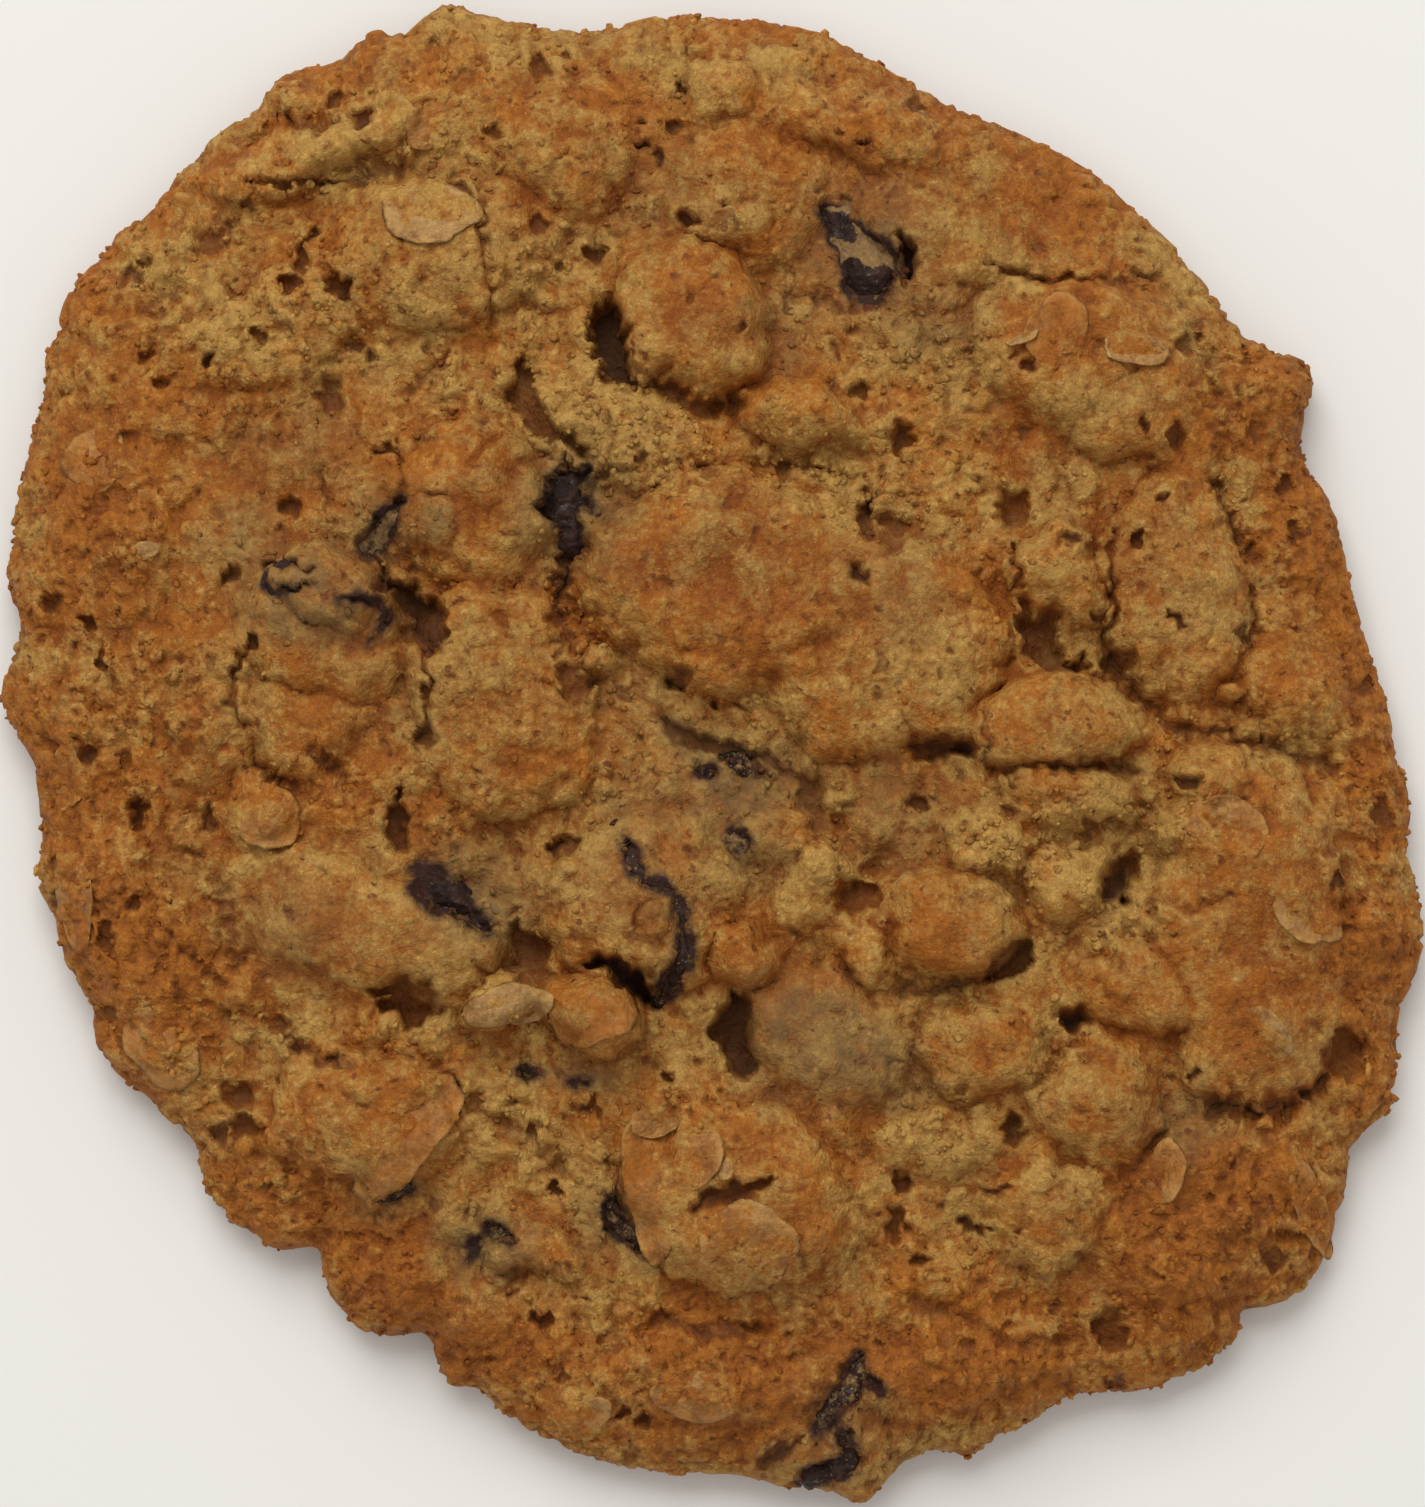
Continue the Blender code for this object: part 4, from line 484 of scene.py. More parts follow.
RAISINS = (
    Fruit(
        "raisin_01", ((8.4, 34.3), (9.7, 32.6), (10.5, 31.1)), 2.7, 2.4, -0.1, 0.7,
        bare=(
            ((9.1, 31.9, 0.6), (9.3, 30.4, 0.8), (10.4, 30.9, 1), (11.3, 31.3, 0.7)),
            ((7.4, 35.5, 0.3), (8.2, 34.7, 0.8), (9.2, 33.9, 0.4)),
        ),
        open=(
            (
                (7.3, 35.6, 0.4), (8.2, 34.6, 0.9), (9.4, 33.3, 1.2), (10.3, 31.8, 1.9),
                (10.2, 31, 1.6),
            ),
        ),
        depth=0.7,
    ),
    Fruit(
        "raisin_02", ((-9.8, 17.4), (-9.8, 16.2), (-9.4, 15)), 2.4, 1.6, -0.7, 0,
        open=(
            (
                (-9.8, 19, 0.1), (-9.9, 17.6, 0.7), (-9.9, 16.4, 1.2), (-9.5, 15, 0.7),
                (-9.2, 13.6, 0.3),
            ),
            ((-11.4, 15.9, 0.2), (-10.6, 16.4, 0.6)), ((-9.9, 17.6, 0.8), (-8.5, 18.3, 0.3)),
            ((-9.4, 16.4, 0.7), (-8.2, 16, 0.3)),
        ),
        depth=0.6,
    ),
    Fruit(
        "raisin_03", ((-22.6, 13.7), (-21.3, 15.2)), 1.7, 1.4, -0.7, 0.55,
        open=(((-20.6, 16.3, 0.2), (-21.4, 15.2, 0.6), (-22.3, 13.9, 0.85), (-22.8, 13.2, 0.4)),),
        depth=0.5,
    ),
    Fruit(
        "raisin_04", ((-27.6, 10.8), (-25.4, 10.3), (-23.4, 9)), 2.2, 1.6, -0.9, 0.1,
        open=(
            ((-29.6, 10.7, 0.1), (-28.6, 10.2, 0.15), (-27.4, 10.4, 0.1), (-26.3, 10.6, -0.1)),
            (
                (-25.2, 9.7, -0.1), (-23.6, 9.8, 0), (-22, 9.5, 0.12), (-21.5, 8.7, 0.12),
                (-22.1, 7.5, 0.05), (-22.8, 6.7, -0.1),
            ),
        ),
        depth=0.3,
    ),
    Fruit(
        "raisin_05", ((-18.9, -8.9), (-17.2, -9.8), (-15.4, -11.1)), 1.7, 1.6, -0.8, 0.05,
        open=(
            (
                (-19.5, -7.9, 0.4), (-18.4, -8.5, 0.8), (-17.2, -9.6, 1), (-16.2, -10.8, 0.5),
                (-15, -11.8, 0.3),
            ),
            ((-19.4, -9, 0.5), (-18, -10.2, 0.6)),
        ),
    ),
    Fruit(
        "raisin_06", (
            (-6.2, -5.4), (-5.6, -6.4), (-5.2, -7.9), (-4.3, -8.8), (-2.9, -9.3), (-1.9, -11.2),
            (-2.1, -14), (-3.4, -16.2),
        ), 0.95, 1.1, -0.25, 0.3,
        open=(
            (
                (-5.9, -5.9, 0.15), (-5.5, -6.8, 0.4), (-5.2, -7.9, 0.35), (-4.4, -8.7, 0.3),
                (-3.4, -9, 0.35), (-2.7, -9.4, 0.1),
            ),
            (
                (-2.3, -9.8, 0.2), (-2, -11, 0.4), (-1.9, -12.5, 0.5), (-2.1, -14, 0.6),
                (-2.9, -15.6, 0.6), (-3.6, -16.4, 0.4),
            ),
        ),
        depth=0.25,
    ),
    Fruit(
        "raisin_07", ((-0.3, -1.3), (1.2, -1.1), (2.8, -1.6)), 1.4, 1.2, -0.3, 0.4,
        open=(
            ((-0.9, -1.4, 0.25), (-0.2, -1.4, 0.3)),
            ((0.9, -0.7, 0.1), (1.7, -1.1, 0.4), (2.5, -1, 0.3), (3.6, -1.6, 0.05)),
        ),
        depth=0.3,
    ),
    Fruit(
        "raisin_08", ((1.5, -5.7), (1.8, -6.4)), 1.2, 1.1, -0.15, 0.5,
        open=(((1.5, -5.6, 0.45), (1.8, -6.3, 0.55)),),
        depth=0.25,
    ),
    Fruit(
        "raisin_09", ((-11.8, -21.1), (-9.6, -20.9), (-7.4, -21.1)), 1.1, 1.1, -0.35, 0.45,
        open=(
            ((-12.5, -21.2, 0.3), (-11.7, -21.4, 0.2)), ((-9.3, -21.9, 0.1), (-8.4, -22, 0.15)),
        ),
    ),
    Fruit(
        "raisin_10", ((-7, -29.9), (-6.2, -31.5), (-4.7, -32.7)), 1, 1.1, -0.6, 0.42,
        open=(((-7, -29.8, 0.3), (-6.6, -31.2, 0.6), (-5.4, -32.2, 0.5), (-4.4, -32.9, 0.4)),),
    ),
    Fruit(
        "raisin_11", ((-21.7, -29.3), (-20.5, -28.8)), 0.9, 0.9, -0.2, 0.35,
        open=(((-21.4, -29.4, 0.5), (-20.4, -28.7, 0.4)),),
    ),
    Fruit(
        "raisin_12", ((-15.2, -32.6), (-14, -32)), 1.1, 1, -0.3, 0.4,
        open=(
            ((-14.9, -31.7, 0.3), (-14.2, -32, 0.35), (-13.3, -32.4, 0.2)),
            ((-16, -33.3, 0.35), (-15.7, -32.7, 0.3)),
        ),
    ),
    Fruit(
        "raisin_13", ((9.8, -40.9), (8.9, -42.6), (7.3, -44.2)), 1.1, 1.2, -0.35, 0.42,
        open=(
            (
                (9.5, -40.2, 0.2), (9.2, -41.3, 0.7), (9.1, -42.4, 0.8), (8, -43.4, 0.45),
                (7.4, -44.4, 0.6), (6.9, -45, 0.4),
            ),
            ((9.6, -41.6, 0.4), (11, -42.5, 0.25)),
        ),
    ),
    Fruit(
        "raisin_14", ((8.8, -45.7), (9, -47.1), (8, -48), (6.4, -48.3)), 1, 1, -0.25, 0.2,
        open=(
            (
                (8.5, -45.4, 0.3), (8.9, -46.7, 0.6), (8.9, -47.5, 0.7), (7.4, -48.2, 0.65),
                (6.1, -48.6, 0.5),
            ),
        ),
    ),
)


# ---------------------------------------------------------------- noise and paths

def hashed(a: Array, b: Array, c: Array, seed: float) -> Array:
    """A repeatable number from 0 to 1 for each lattice point.

    Args:
        a: first lattice number.
        b: second lattice number.
        c: third lattice number.
        seed: which set of numbers.

    Returns:
        Numbers from 0 to 1.
    """
    value = np.sin(a * 127.1 + b * 311.7 + c * 191.3 + seed * 74.7) * 43758.5453
    return value - np.floor(value)


def fade(share: Array) -> Array:
    """A smooth step from 0 to 1."""
    return share * share * share * (share * (share * 6.0 - 15.0) + 10.0)


def lattice_noise(x: Array, y: Array, size: float, seed: float) -> Array:
    """Smooth noise between about -1 and 1 over a plane.

    Args:
        x: places across.
        y: places up.
        size: how far apart its lumps are.
        seed: which noise.

    Returns:
        The noise at each place.
    """
    u, v = np.asarray(x) / size, np.asarray(y) / size
    iu, iv = np.floor(u), np.floor(v)
    fu, fv = u - iu, v - iv
    total = np.zeros_like(u)
    for du in (0, 1):
        for dv in (0, 1):
            turn = hashed(iu + du, iv + dv, 0.0, seed) * 2.0 * math.pi
            slope = np.cos(turn) * (fu - du) + np.sin(turn) * (fv - dv)
            total += slope * fade(1.0 - np.abs(fu - du)) * fade(1.0 - np.abs(fv - dv))
    return total * 1.5


def solid_noise(points: Array, size: float, seed: float) -> Array:
    """Smooth noise between about -1 and 1 in space.

    Args:
        points: places, one to a row.
        size: how far apart its lumps are.
        seed: which noise.

    Returns:
        The noise at each place.
    """
    u = points / size
    low = np.floor(u)
    part = u - low
    total = np.zeros(len(points))
    for corner in np.ndindex(2, 2, 2):
        at = low + corner
        weight = np.prod(fade(1.0 - np.abs(part - corner)), axis=1)
        total += weight * (2.0 * hashed(at[:, 0], at[:, 1], at[:, 2], seed) - 1.0)
    return total


def cell_noise(x: Array, y: Array, size: float, seed: float) -> tuple[Array, Array, Array]:
    """The distances to the two nearest of scattered points, in cell widths.

    Args:
        x: places across.
        y: places up.
        size: how far apart the points are.
        seed: which scatter.

    Returns:
        The nearest point's distance, about 0 to 0.8, how much further the next one is,
        and a number from 0 to 1 that belongs to the nearest.
    """
    u, v = np.asarray(x) / size, np.asarray(y) / size
    iu, iv = np.floor(u), np.floor(v)
    first, second, pick = np.full_like(u, 9.0), np.full_like(u, 9.0), np.zeros_like(u)
    for du in (-1, 0, 1):
        for dv in (-1, 0, 1):
            a, b = iu + du, iv + dv
            px = a + 0.15 + 0.7 * hashed(a, b, 1.0, seed)
            py = b + 0.15 + 0.7 * hashed(a, b, 2.0, seed)
            away = (u - px) ** 2 + (v - py) ** 2
            second = np.minimum(second, np.maximum(away, first))
            pick = np.where(away < first, hashed(a, b, 3.0, seed), pick)
            first = np.minimum(first, away)
    return np.sqrt(first), np.sqrt(second) - np.sqrt(first), pick


def bead_distance(x: Array, y: Array, beads: Sequence) -> Array:
    """The signed distance to a chain of beads of changing size.

    Args:
        x: places across.
        y: places up.
        beads: rows of x, y and radius.

    Returns:
        Millimetres, below nought inside.
    """
    best = np.full(np.shape(x), np.inf)
    for (x0, y0, r0), (x1, y1, r1) in zip(beads[:-1], beads[1:]):
        length = math.hypot(x1 - x0, y1 - y0)
        share = np.clip(((x - x0) * (x1 - x0) + (y - y0) * (y1 - y0)) / length**2, 0.0, 1.0)
        away = np.hypot(x - x0 - share * (x1 - x0), y - y0 - share * (y1 - y0))
        best = np.minimum(best, away - r0 - (r1 - r0) * share)
    return best


def bent(x: Array, y: Array, bends: Sequence) -> tuple[Array, Array]:
    """Places pushed about by noise, so that what is drawn at them gets a ragged edge.

    Args:
        x: places across.
        y: places up.
        bends: rows of strength, lump size, and the seeds across and up.

    Returns:
        The pushed places across and up.
    """
    bent_x, bent_y = x, y
    for strength, size, seed_x, seed_y in bends:
        bent_x = bent_x + strength * lattice_noise(x, y, size, seed_x)
        bent_y = bent_y + strength * lattice_noise(x, y, size, seed_y)
    return bent_x, bent_y


def nearest_on_path(x: Array, y: Array, points: Sequence) -> tuple[Array, Array]:
    """How near places are to a run of points.

    Args:
        x: places across.
        y: places up.
        points: the run's corners.

    Returns:
        The distance, and how far along the run, 0 to 1, the nearest place is.
    """
    ends = np.array(points, float)
    lengths = np.hypot(*(ends[1:] - ends[:-1]).T)
    best = np.full(np.shape(x), np.inf)
    place = np.zeros(np.shape(x))
    before = 0.0
    for start, end, length in zip(ends[:-1], ends[1:], lengths):
        way = (end - start) / length
        along = np.clip((x - start[0]) * way[0] + (y - start[1]) * way[1], 0.0, length)
        away = np.hypot(x - start[0] - along * way[0], y - start[1] - along * way[1])
        nearer = away < best
        best = np.where(nearer, away, best)
        place = np.where(nearer, (before + along) / lengths.sum(), place)
        before += length
    return best, place


# ---------------------------------------------------------------- the shape of the dough

@dataclass
class Outline:
    """The cookie's outline from above: a turned ellipse with lobes."""

    long_half: float = 52.13
    short_half: float = 44.25
    degrees: float = -52.8
    lobes: Sequence[Lobe] = LOBES

    def radius(self, angle: Array) -> Array:
        """The distance from the middle of the view.

        Args:
            angle: directions in radians.

        Returns:
            The outline's distance in each direction, in millimetres.
        """
        turned = angle - math.radians(self.degrees)
        across = np.hypot(self.short_half * np.cos(turned), self.long_half * np.sin(turned))
        total = self.long_half * self.short_half / across
        for lobe in self.lobes:
            away = (np.degrees(angle) - lobe.degrees + 180.0) % 360.0 - 180.0
            total = total + lobe.out * np.exp(-math.log(2.0) * (away / lobe.spread) ** 2)
        return total

    def middle(self) -> Array:
        """The middle of the outline's box, which is the frame's origin."""
        angle = np.linspace(0.0, 2.0 * math.pi, 3600, endpoint=False)
        x, y = self.radius(angle) * np.cos(angle), self.radius(angle) * np.sin(angle)
        return np.array([0.5 * (x.min() + x.max()), 0.5 * (y.min() + y.max()), 0.0])


@dataclass
class Relief:
    """The height and the kind of surface at any place on the cookie's top.

    Bends are rows as the function bent takes them. Grains are rows of size, height,
    seed, and whether only torn crumb has them in full. Ripples are rows of size and
    height.
    """

    outline: Outline
    dome_rise: float = 4.4
    rim_height: float = 5.0
    dome_power: float = 2.6
    edge_level: float = 2.4
    edge_round: float = 4.2
    broad_lumps: float = 0.5
    middle_lumps: float = 0.45
    small_lumps: float = 0.2
    blend_power: float = 5.0
    mound_gain: float = 1.42
    seam_deep: float = 0.8
    seam_wide: float = 0.35
    skirt: float = 0.52
    flake_swell: float = 0.25
    usual_lump: float = 1.2
    least_top: float = 1.0
    lump_bends: tuple = ((0.9, 5.0, 11, 13), (0.45, 1.9, 12, 14), (0.2, 0.8, 16, 17))
    hollow_bends: tuple = ((0.4, 1.6, 21, 22), (0.42, 0.8, 23, 24))
    zone_bends: tuple = ((1.1, 3.6, 41, 43), (0.6, 1.5, 42, 44))
    grain_bends: tuple = ((0.6, 2.3, 51, 52), (0.25, 0.9, 61, 62))
    grains: tuple = ((3.3, 0.42, 53, False), (1.7, 0.34, 54, True), (0.9, 0.26, 56, True))
    ripples: tuple = ((2.6, 0.28), (1.3, 0.12), (0.7, 0.07))
    cut_soft: float = 0.7

    def base(self, rho: Array) -> Array:
        """The smooth dome for a share rho of the way to the rim."""
        return self.rim_height + self.dome_rise * (1.0 - rho**self.dome_power)

    def lumps(self, x: Array, y: Array) -> tuple[Array, Array, Array]:
        """The mounds' height.

        Args:
            x: places across.
            y: places up.

        Returns:
            The height above the dome, how toasted the mounds are there, and how near
            their tops it is.
        """
        wx, wy = bent(x, y, self.lump_bends)
        total, toast, crest = np.zeros_like(x), np.zeros_like(x), np.zeros_like(x)
        first, second = np.zeros_like(x), np.zeros_like(x)
        leaning = self.skirt * np.clip(0.5 + 1.4 * lattice_noise(x, y, 6.0, 18), 0.0, 1.0)
        for mound in MOUNDS:
            away = mound.distance(wx, wy)
            shape = np.clip(1.0 - away**mound.flat, 0.0, 1.0) ** mound.edge
            side = leaning * np.exp(-0.85 * away**2)
            rise = self.mound_gain * mound.rise * np.maximum(shape, side)
            total += rise**self.blend_power
            second = np.maximum(second, np.minimum(rise, first))
            first = np.maximum(first, rise)
            toast = np.maximum(toast, mound.toast * shape)
            crest = np.maximum(crest, shape)
        seam = np.exp(-(((first - second) / self.seam_wide) ** 2))
        seam = seam * fade(np.clip(second / 0.9, 0.0, 1.0))
        seam *= np.clip(0.45 + 1.2 * lattice_noise(x, y, 3.1, 15), 0.0, 1.0)
        return total ** (1.0 / self.blend_power) - self.seam_deep * seam, toast, crest

    def flakes(self, x: Array, y: Array) -> tuple[Array, Array]:
        """How the dough swells under the oat flakes.

        Args:
            x: places across.
            y: places up.

        Returns:
            The swelling, and how much of the surface is under a flake.
        """
        total, cover = np.zeros_like(x), np.zeros_like(x)
        for flake in FLAKES:
            away = flake.distance(x, y)
            swell = fade(np.clip(2.2 - 1.7 * away, 0.0, 1.0))
            total = np.maximum(total, self.flake_swell * swell)
            cover = np.maximum(cover, np.clip(2.6 - 2.2 * away, 0.0, 1.0))
        return total, cover

    def hollows(self, x: Array, y: Array) -> tuple[Array, Array]:
        """The cracks and holes.

        Args:
            x: places across.
            y: places up.

        Returns:
            How deep they are, and how much shade is painted in them.
        """
        wx, wy = bent(x, y, self.hollow_bends)
        total, dark = np.zeros_like(x), np.zeros_like(x)
        for crack in CRACKS:
            away, place = nearest_on_path(wx, wy, crack.points)
            fray = 0.8 + 0.7 * lattice_noise(place * 9.0, away * 0.0, 1.0, crack.points[0][0])
            cut = np.exp(-np.abs(away / (1.15 * crack.wide * np.maximum(fray, 0.2))) ** 1.7)
            total = np.maximum(total, crack.depth * np.minimum(fray, 1.0) * cut)
            dark = np.maximum(dark, crack.dark * cut**3)
        for pit in PITS:
            cut = np.exp(-0.9 * pit.distance(wx, wy) ** 6)
            total = np.maximum(total, pit.depth * cut)
            dark = np.maximum(dark, pit.dark * cut**1.5)
        for hollow in CUTS:
            away = bead_distance(wx, wy, hollow.beads)
            cut = fade(np.clip(0.5 - away / self.cut_soft, 0.0, 1.0))
            total = np.maximum(total, hollow.depth * cut)
            dark = np.maximum(dark, hollow.dark * cut)
        return total, dark

    def zone(self, kind: Zone, x: Array, y: Array) -> Array:
        """How much of one kind of surface there is.

        Args:
            kind: which kind.
            x: places across.
            y: places up.

        Returns:
            From 0 to 1 at each place.
        """
        wx, wy = bent(x, y, self.zone_bends)
        total = np.zeros_like(x)
        for patch in PATCHES[kind]:
            away = patch.distance(wx, wy)
            total = np.maximum(total, patch.strength * np.clip(1.5 - 1.1 * away, 0.0, 1.0))
        return total

    def polar(self, x: Array, y: Array) -> tuple[Array, Array]:
        """Where places are between the middle and the rim.

        Args:
            x: places across.
            y: places up.

        Returns:
            The share of the way to the rim, and the rounding of the edge, 0 at the rim.
        """
        rim = self.outline.radius(np.arctan2(y, x))
        rho = np.clip(np.hypot(x, y) / rim, 0.0, 1.0)
        inward = np.clip((1.0 - rho) * rim / self.edge_round, 0.0, 1.0)
        return rho, np.sqrt(np.clip(1.0 - (1.0 - inward) ** 2, 0.0, 1.0))

    def seen_up(self, x: Array, y: Array) -> Array:
        """Where a place is seen: higher places are seen further up the picture."""
        lean = 1.0 / math.tan(math.radians(LIST_ELEVATION))
        return y + lean * (self.base(self.polar(x, y)[0]) + self.usual_lump - self.edge_level)

    def survey(self, x: Array, y: Array) -> dict[str, Array]:
        """The height and every mask at some places.

        Args:
            x: places across.
            y: places up.

        Returns:
            Height in millimetres, and masks from 0 to 1, by name.
        """
        rho, rounding = self.polar(x, y)
        sy = self.seen_up(x, y)
        lump, toast, crest = self.lumps(x, sy)
        flake, oat = self.flakes(x, sy)
        deep, dark = self.hollows(x, sy)
        crumb, smooth = self.zone(Zone.CRUMB, x, sy), self.zone(Zone.SMOOTH, x, sy)
        rim, stain = self.zone(Zone.RIM, x, sy), self.zone(Zone.STAIN, x, sy)
        valley = np.clip(1.0 - 1.7 * crest, 0.0, 1.0)
        valley = valley * np.clip(0.5 + 1.2 * lattice_noise(x, sy, 7.0, 19), 0.0, 1.0)
        crumb = np.maximum(crumb, 0.5 * valley * (1.0 - rim))
        toast = np.maximum(np.maximum(toast * 0.8, 0.5 * smooth), self.zone(Zone.TOAST, x, sy))
        rough = 0.96 - 0.2 * crest + 0.24 * crumb + 0.15 * rim - 0.34 * smooth - 0.4 * oat
        rough = np.clip(rough, 0.25, 1.3) * (1.0 - 0.75 * dark)
        torn = np.clip(0.8 + 0.3 * crumb + 0.3 * rim - 0.4 * smooth, 0.0, 1.15)
        grain, holes = self.grain(x, sy, rough, rim, torn)
        top = self.base(rho) + lump + flake + self.waves(x, sy) + grain - deep
        top = np.maximum(top, self.edge_level + self.least_top)
        return {
            "height": self.edge_level + (top - self.edge_level) * rounding,
            "toast": toast, "crumb": crumb, "stain": stain, "rim": rim, "smooth": smooth,
            # This mask is painted shade in the cracks, pits and small holes.
            "hollow": np.maximum(dark, holes),
        }

    def waves(self, x: Array, y: Array) -> Array:
        """The dough's unevenness between the mounds and the crumb.

        Args:
            x: places across.
            y: places up.

        Returns:
            Height to add.
        """
        total = self.broad_lumps * lattice_noise(x, y, 9.0, 1)
        total += self.middle_lumps * lattice_noise(x, y, 4.2, 2)
        return total + self.small_lumps * lattice_noise(x, y, 2.1, 3)

    def calm(self, x: Array, y: Array) -> Array:
        """The height without crumb, cracks and holes, for what lies on the dough.

        Args:
            x: places across.
            y: places up.

        Returns:
            The height at each place.
        """
        rho, rounding = self.polar(x, y)
        sy = self.seen_up(x, y)
        top = self.base(rho) + self.lumps(x, sy)[0] + self.waves(x, sy) + self.flakes(x, sy)[0]
        return self.edge_level + (top - self.edge_level) * rounding

    def grain(
        self, x: Array, y: Array, rough: Array, rim: Array, torn: Array
    ) -> tuple[Array, Array]:
        """The crumb's own relief.

        Args:
            x: places across.
            y: places up.
            rough: how rough the surface is at each place.
            rim: how much of it is rim crust.
            torn: how much of the finer grains there is.

        Returns:
            Height to add, and how much shade is painted in its small holes.
        """
        wx, wy = bent(x, y, self.grain_bends)
        total = np.zeros_like(x)
        for size, share, seed, in_torn in self.grains:
            near, gap, pick = cell_noise(wx, wy, size, seed)
            bead = 1.0 - 0.7 * np.clip(near / 0.8, 0.0, 1.0) ** 2
            bead = bead * fade(np.clip(gap / 0.32, 0.0, 1.0))
            total += (share * torn if in_torn else share) * (pick * bead - 0.25)
        for size, share in self.ripples:
            total += share * lattice_noise(wx, wy, size, 55 + size)
        crowd = lattice_noise(x, y, 5.0, 57) + 0.6 * rim
        spot = np.clip((lattice_noise(wx, wy, 1.05, 58) - 0.48) * 4.0, 0.0, 1.0) * (crowd > -0.1)
        prick = np.clip((lattice_noise(wx, wy, 0.6, 59) - 0.5) * 4.0, 0.0, 1.0)
        total = total * rough - (0.36 * spot + 0.12 * prick) * np.minimum(0.5 + 0.5 * rough, 1.0)
        return total, np.clip(0.6 * spot + 0.22 * prick, 0.0, 0.75)


# ---------------------------------------------------------------- meshes

def stitch(inner_start: int, inner_count: int, outer_start: int, outer_count: int) -> Array:
    """Triangles between two rings, anticlockwise seen from above.

    Args:
        inner_start: number of the inner ring's first point.
        inner_count: how many points the inner ring has, 1 for a middle point.
        outer_start: number of the outer ring's first point.
        outer_count: how many points the outer ring has.

    Returns:
        Rows of three point numbers.
    """
    edge = np.arange(outer_count)
    ahead = (edge + 1) % outer_count
    if inner_count == 1:
        middle = np.full(outer_count, inner_start)
        return np.stack([middle, outer_start + edge, outer_start + ahead], axis=1)
    beside = ((2 * edge + 1) * inner_count + outer_count) // (2 * outer_count) % inner_count
    wide = np.stack([inner_start + beside, outer_start + edge, outer_start + ahead], axis=1)
    edge = np.arange(inner_count)
    beside = -((inner_count - (2 * edge + 1) * outer_count) // (2 * inner_count)) % outer_count
    ahead = (edge + 1) % inner_count
    narrow = np.stack([inner_start + ahead, inner_start + edge, outer_start + beside], axis=1)
    return np.concatenate([wide, narrow])


def point_normals(points: Array, faces: Array) -> Array:
    """The outward direction at each point of a triangle mesh.

    Args:
        points: places, one to a row.
        faces: rows of three point numbers.

    Returns:
        Unit vectors, one to a row.
    """
    a, b, c = (points[faces[:, k]] for k in range(3))
    across = np.cross(b - a, c - a)
    total = np.zeros_like(points)
    for corner in range(3):
        for axis in range(3):
            total[:, axis] += np.bincount(faces[:, corner], across[:, axis], len(points))
    return total / np.maximum(np.linalg.norm(total, axis=1), 1e-12)[:, None]


def new_object(name: str, points: Array, faces: Array, shift: Array) -> bpy.types.Object:
    """A smooth-shaded object whose place is in its mesh.

    Args:
        name: the object's name.
        points: places in millimetres from the middle of the view.
        faces: rows of three point numbers.
        shift: the frame's origin in those millimetres.

    Returns:
        The object, in the scene.
    """
    mesh = bpy.data.meshes.new(name)
    mesh.vertices.add(len(points))
    mesh.vertices.foreach_set("co", ((points - shift) * MM).astype(np.float32).ravel())
    mesh.loops.add(3 * len(faces))
    mesh.loops.foreach_set("vertex_index", faces.astype(np.int32).ravel())
    mesh.polygons.add(len(faces))
    mesh.polygons.foreach_set("loop_start", np.arange(0, 3 * len(faces), 3, dtype=np.int32))
    mesh.update(calc_edges=True)
    mesh.validate()
    mesh.shade_smooth()
    made = bpy.data.objects.new(name, mesh)
    bpy.context.scene.collection.objects.link(made)
    return made


def mesh_points(piece: bpy.types.Object, shift: Array) -> Array:
    """A piece's points in millimetres from the middle of the view."""
    flat = np.empty(3 * len(piece.data.vertices), np.float32)
    piece.data.vertices.foreach_get("co", flat)
    return flat.reshape(-1, 3).astype(float) / MM + shift


def set_mask(piece: bpy.types.Object, name: str, values: Array) -> None:
    """Keeps one number a point on a piece, for its material.

    Args:
        piece: the object.
        name: the attribute's name.
        values: one number a point.
    """
    layer = piece.data.attributes.new(name, "FLOAT", "POINT")
    layer.data.foreach_set("value", values.astype(np.float32))


def applied(piece: bpy.types.Object) -> None:
    """Turns a piece's modifiers into plain mesh.

    Args:
        piece: the object, which keeps its name.
    """
    graph = bpy.context.evaluated_depsgraph_get()
    mesh = bpy.data.meshes.new_from_object(piece.evaluated_get(graph))
    piece.modifiers.clear()
    old, piece.data = piece.data, mesh
    bpy.data.meshes.remove(old)
    mesh.name = piece.name
    mesh.shade_smooth()


# ---------------------------------------------------------------- shader groups and finishes

def linear(red: float, green: float, blue: float) -> tuple[float, float, float, float]:
    """A shader colour from screen values of 0 to 255.

    Args:
        red: red as a screen shows it.
        green: green as a screen shows it.
        blue: blue as a screen shows it.

    Returns:
        The colour with alpha, in linear light.
    """
    parts = [v / 255.0 for v in (red, green, blue)]
    parts = [v / 12.92 if v <= 0.04045 else ((v + 0.055) / 1.055) ** 2.4 for v in parts]
    return (parts[0], parts[1], parts[2], 1.0)


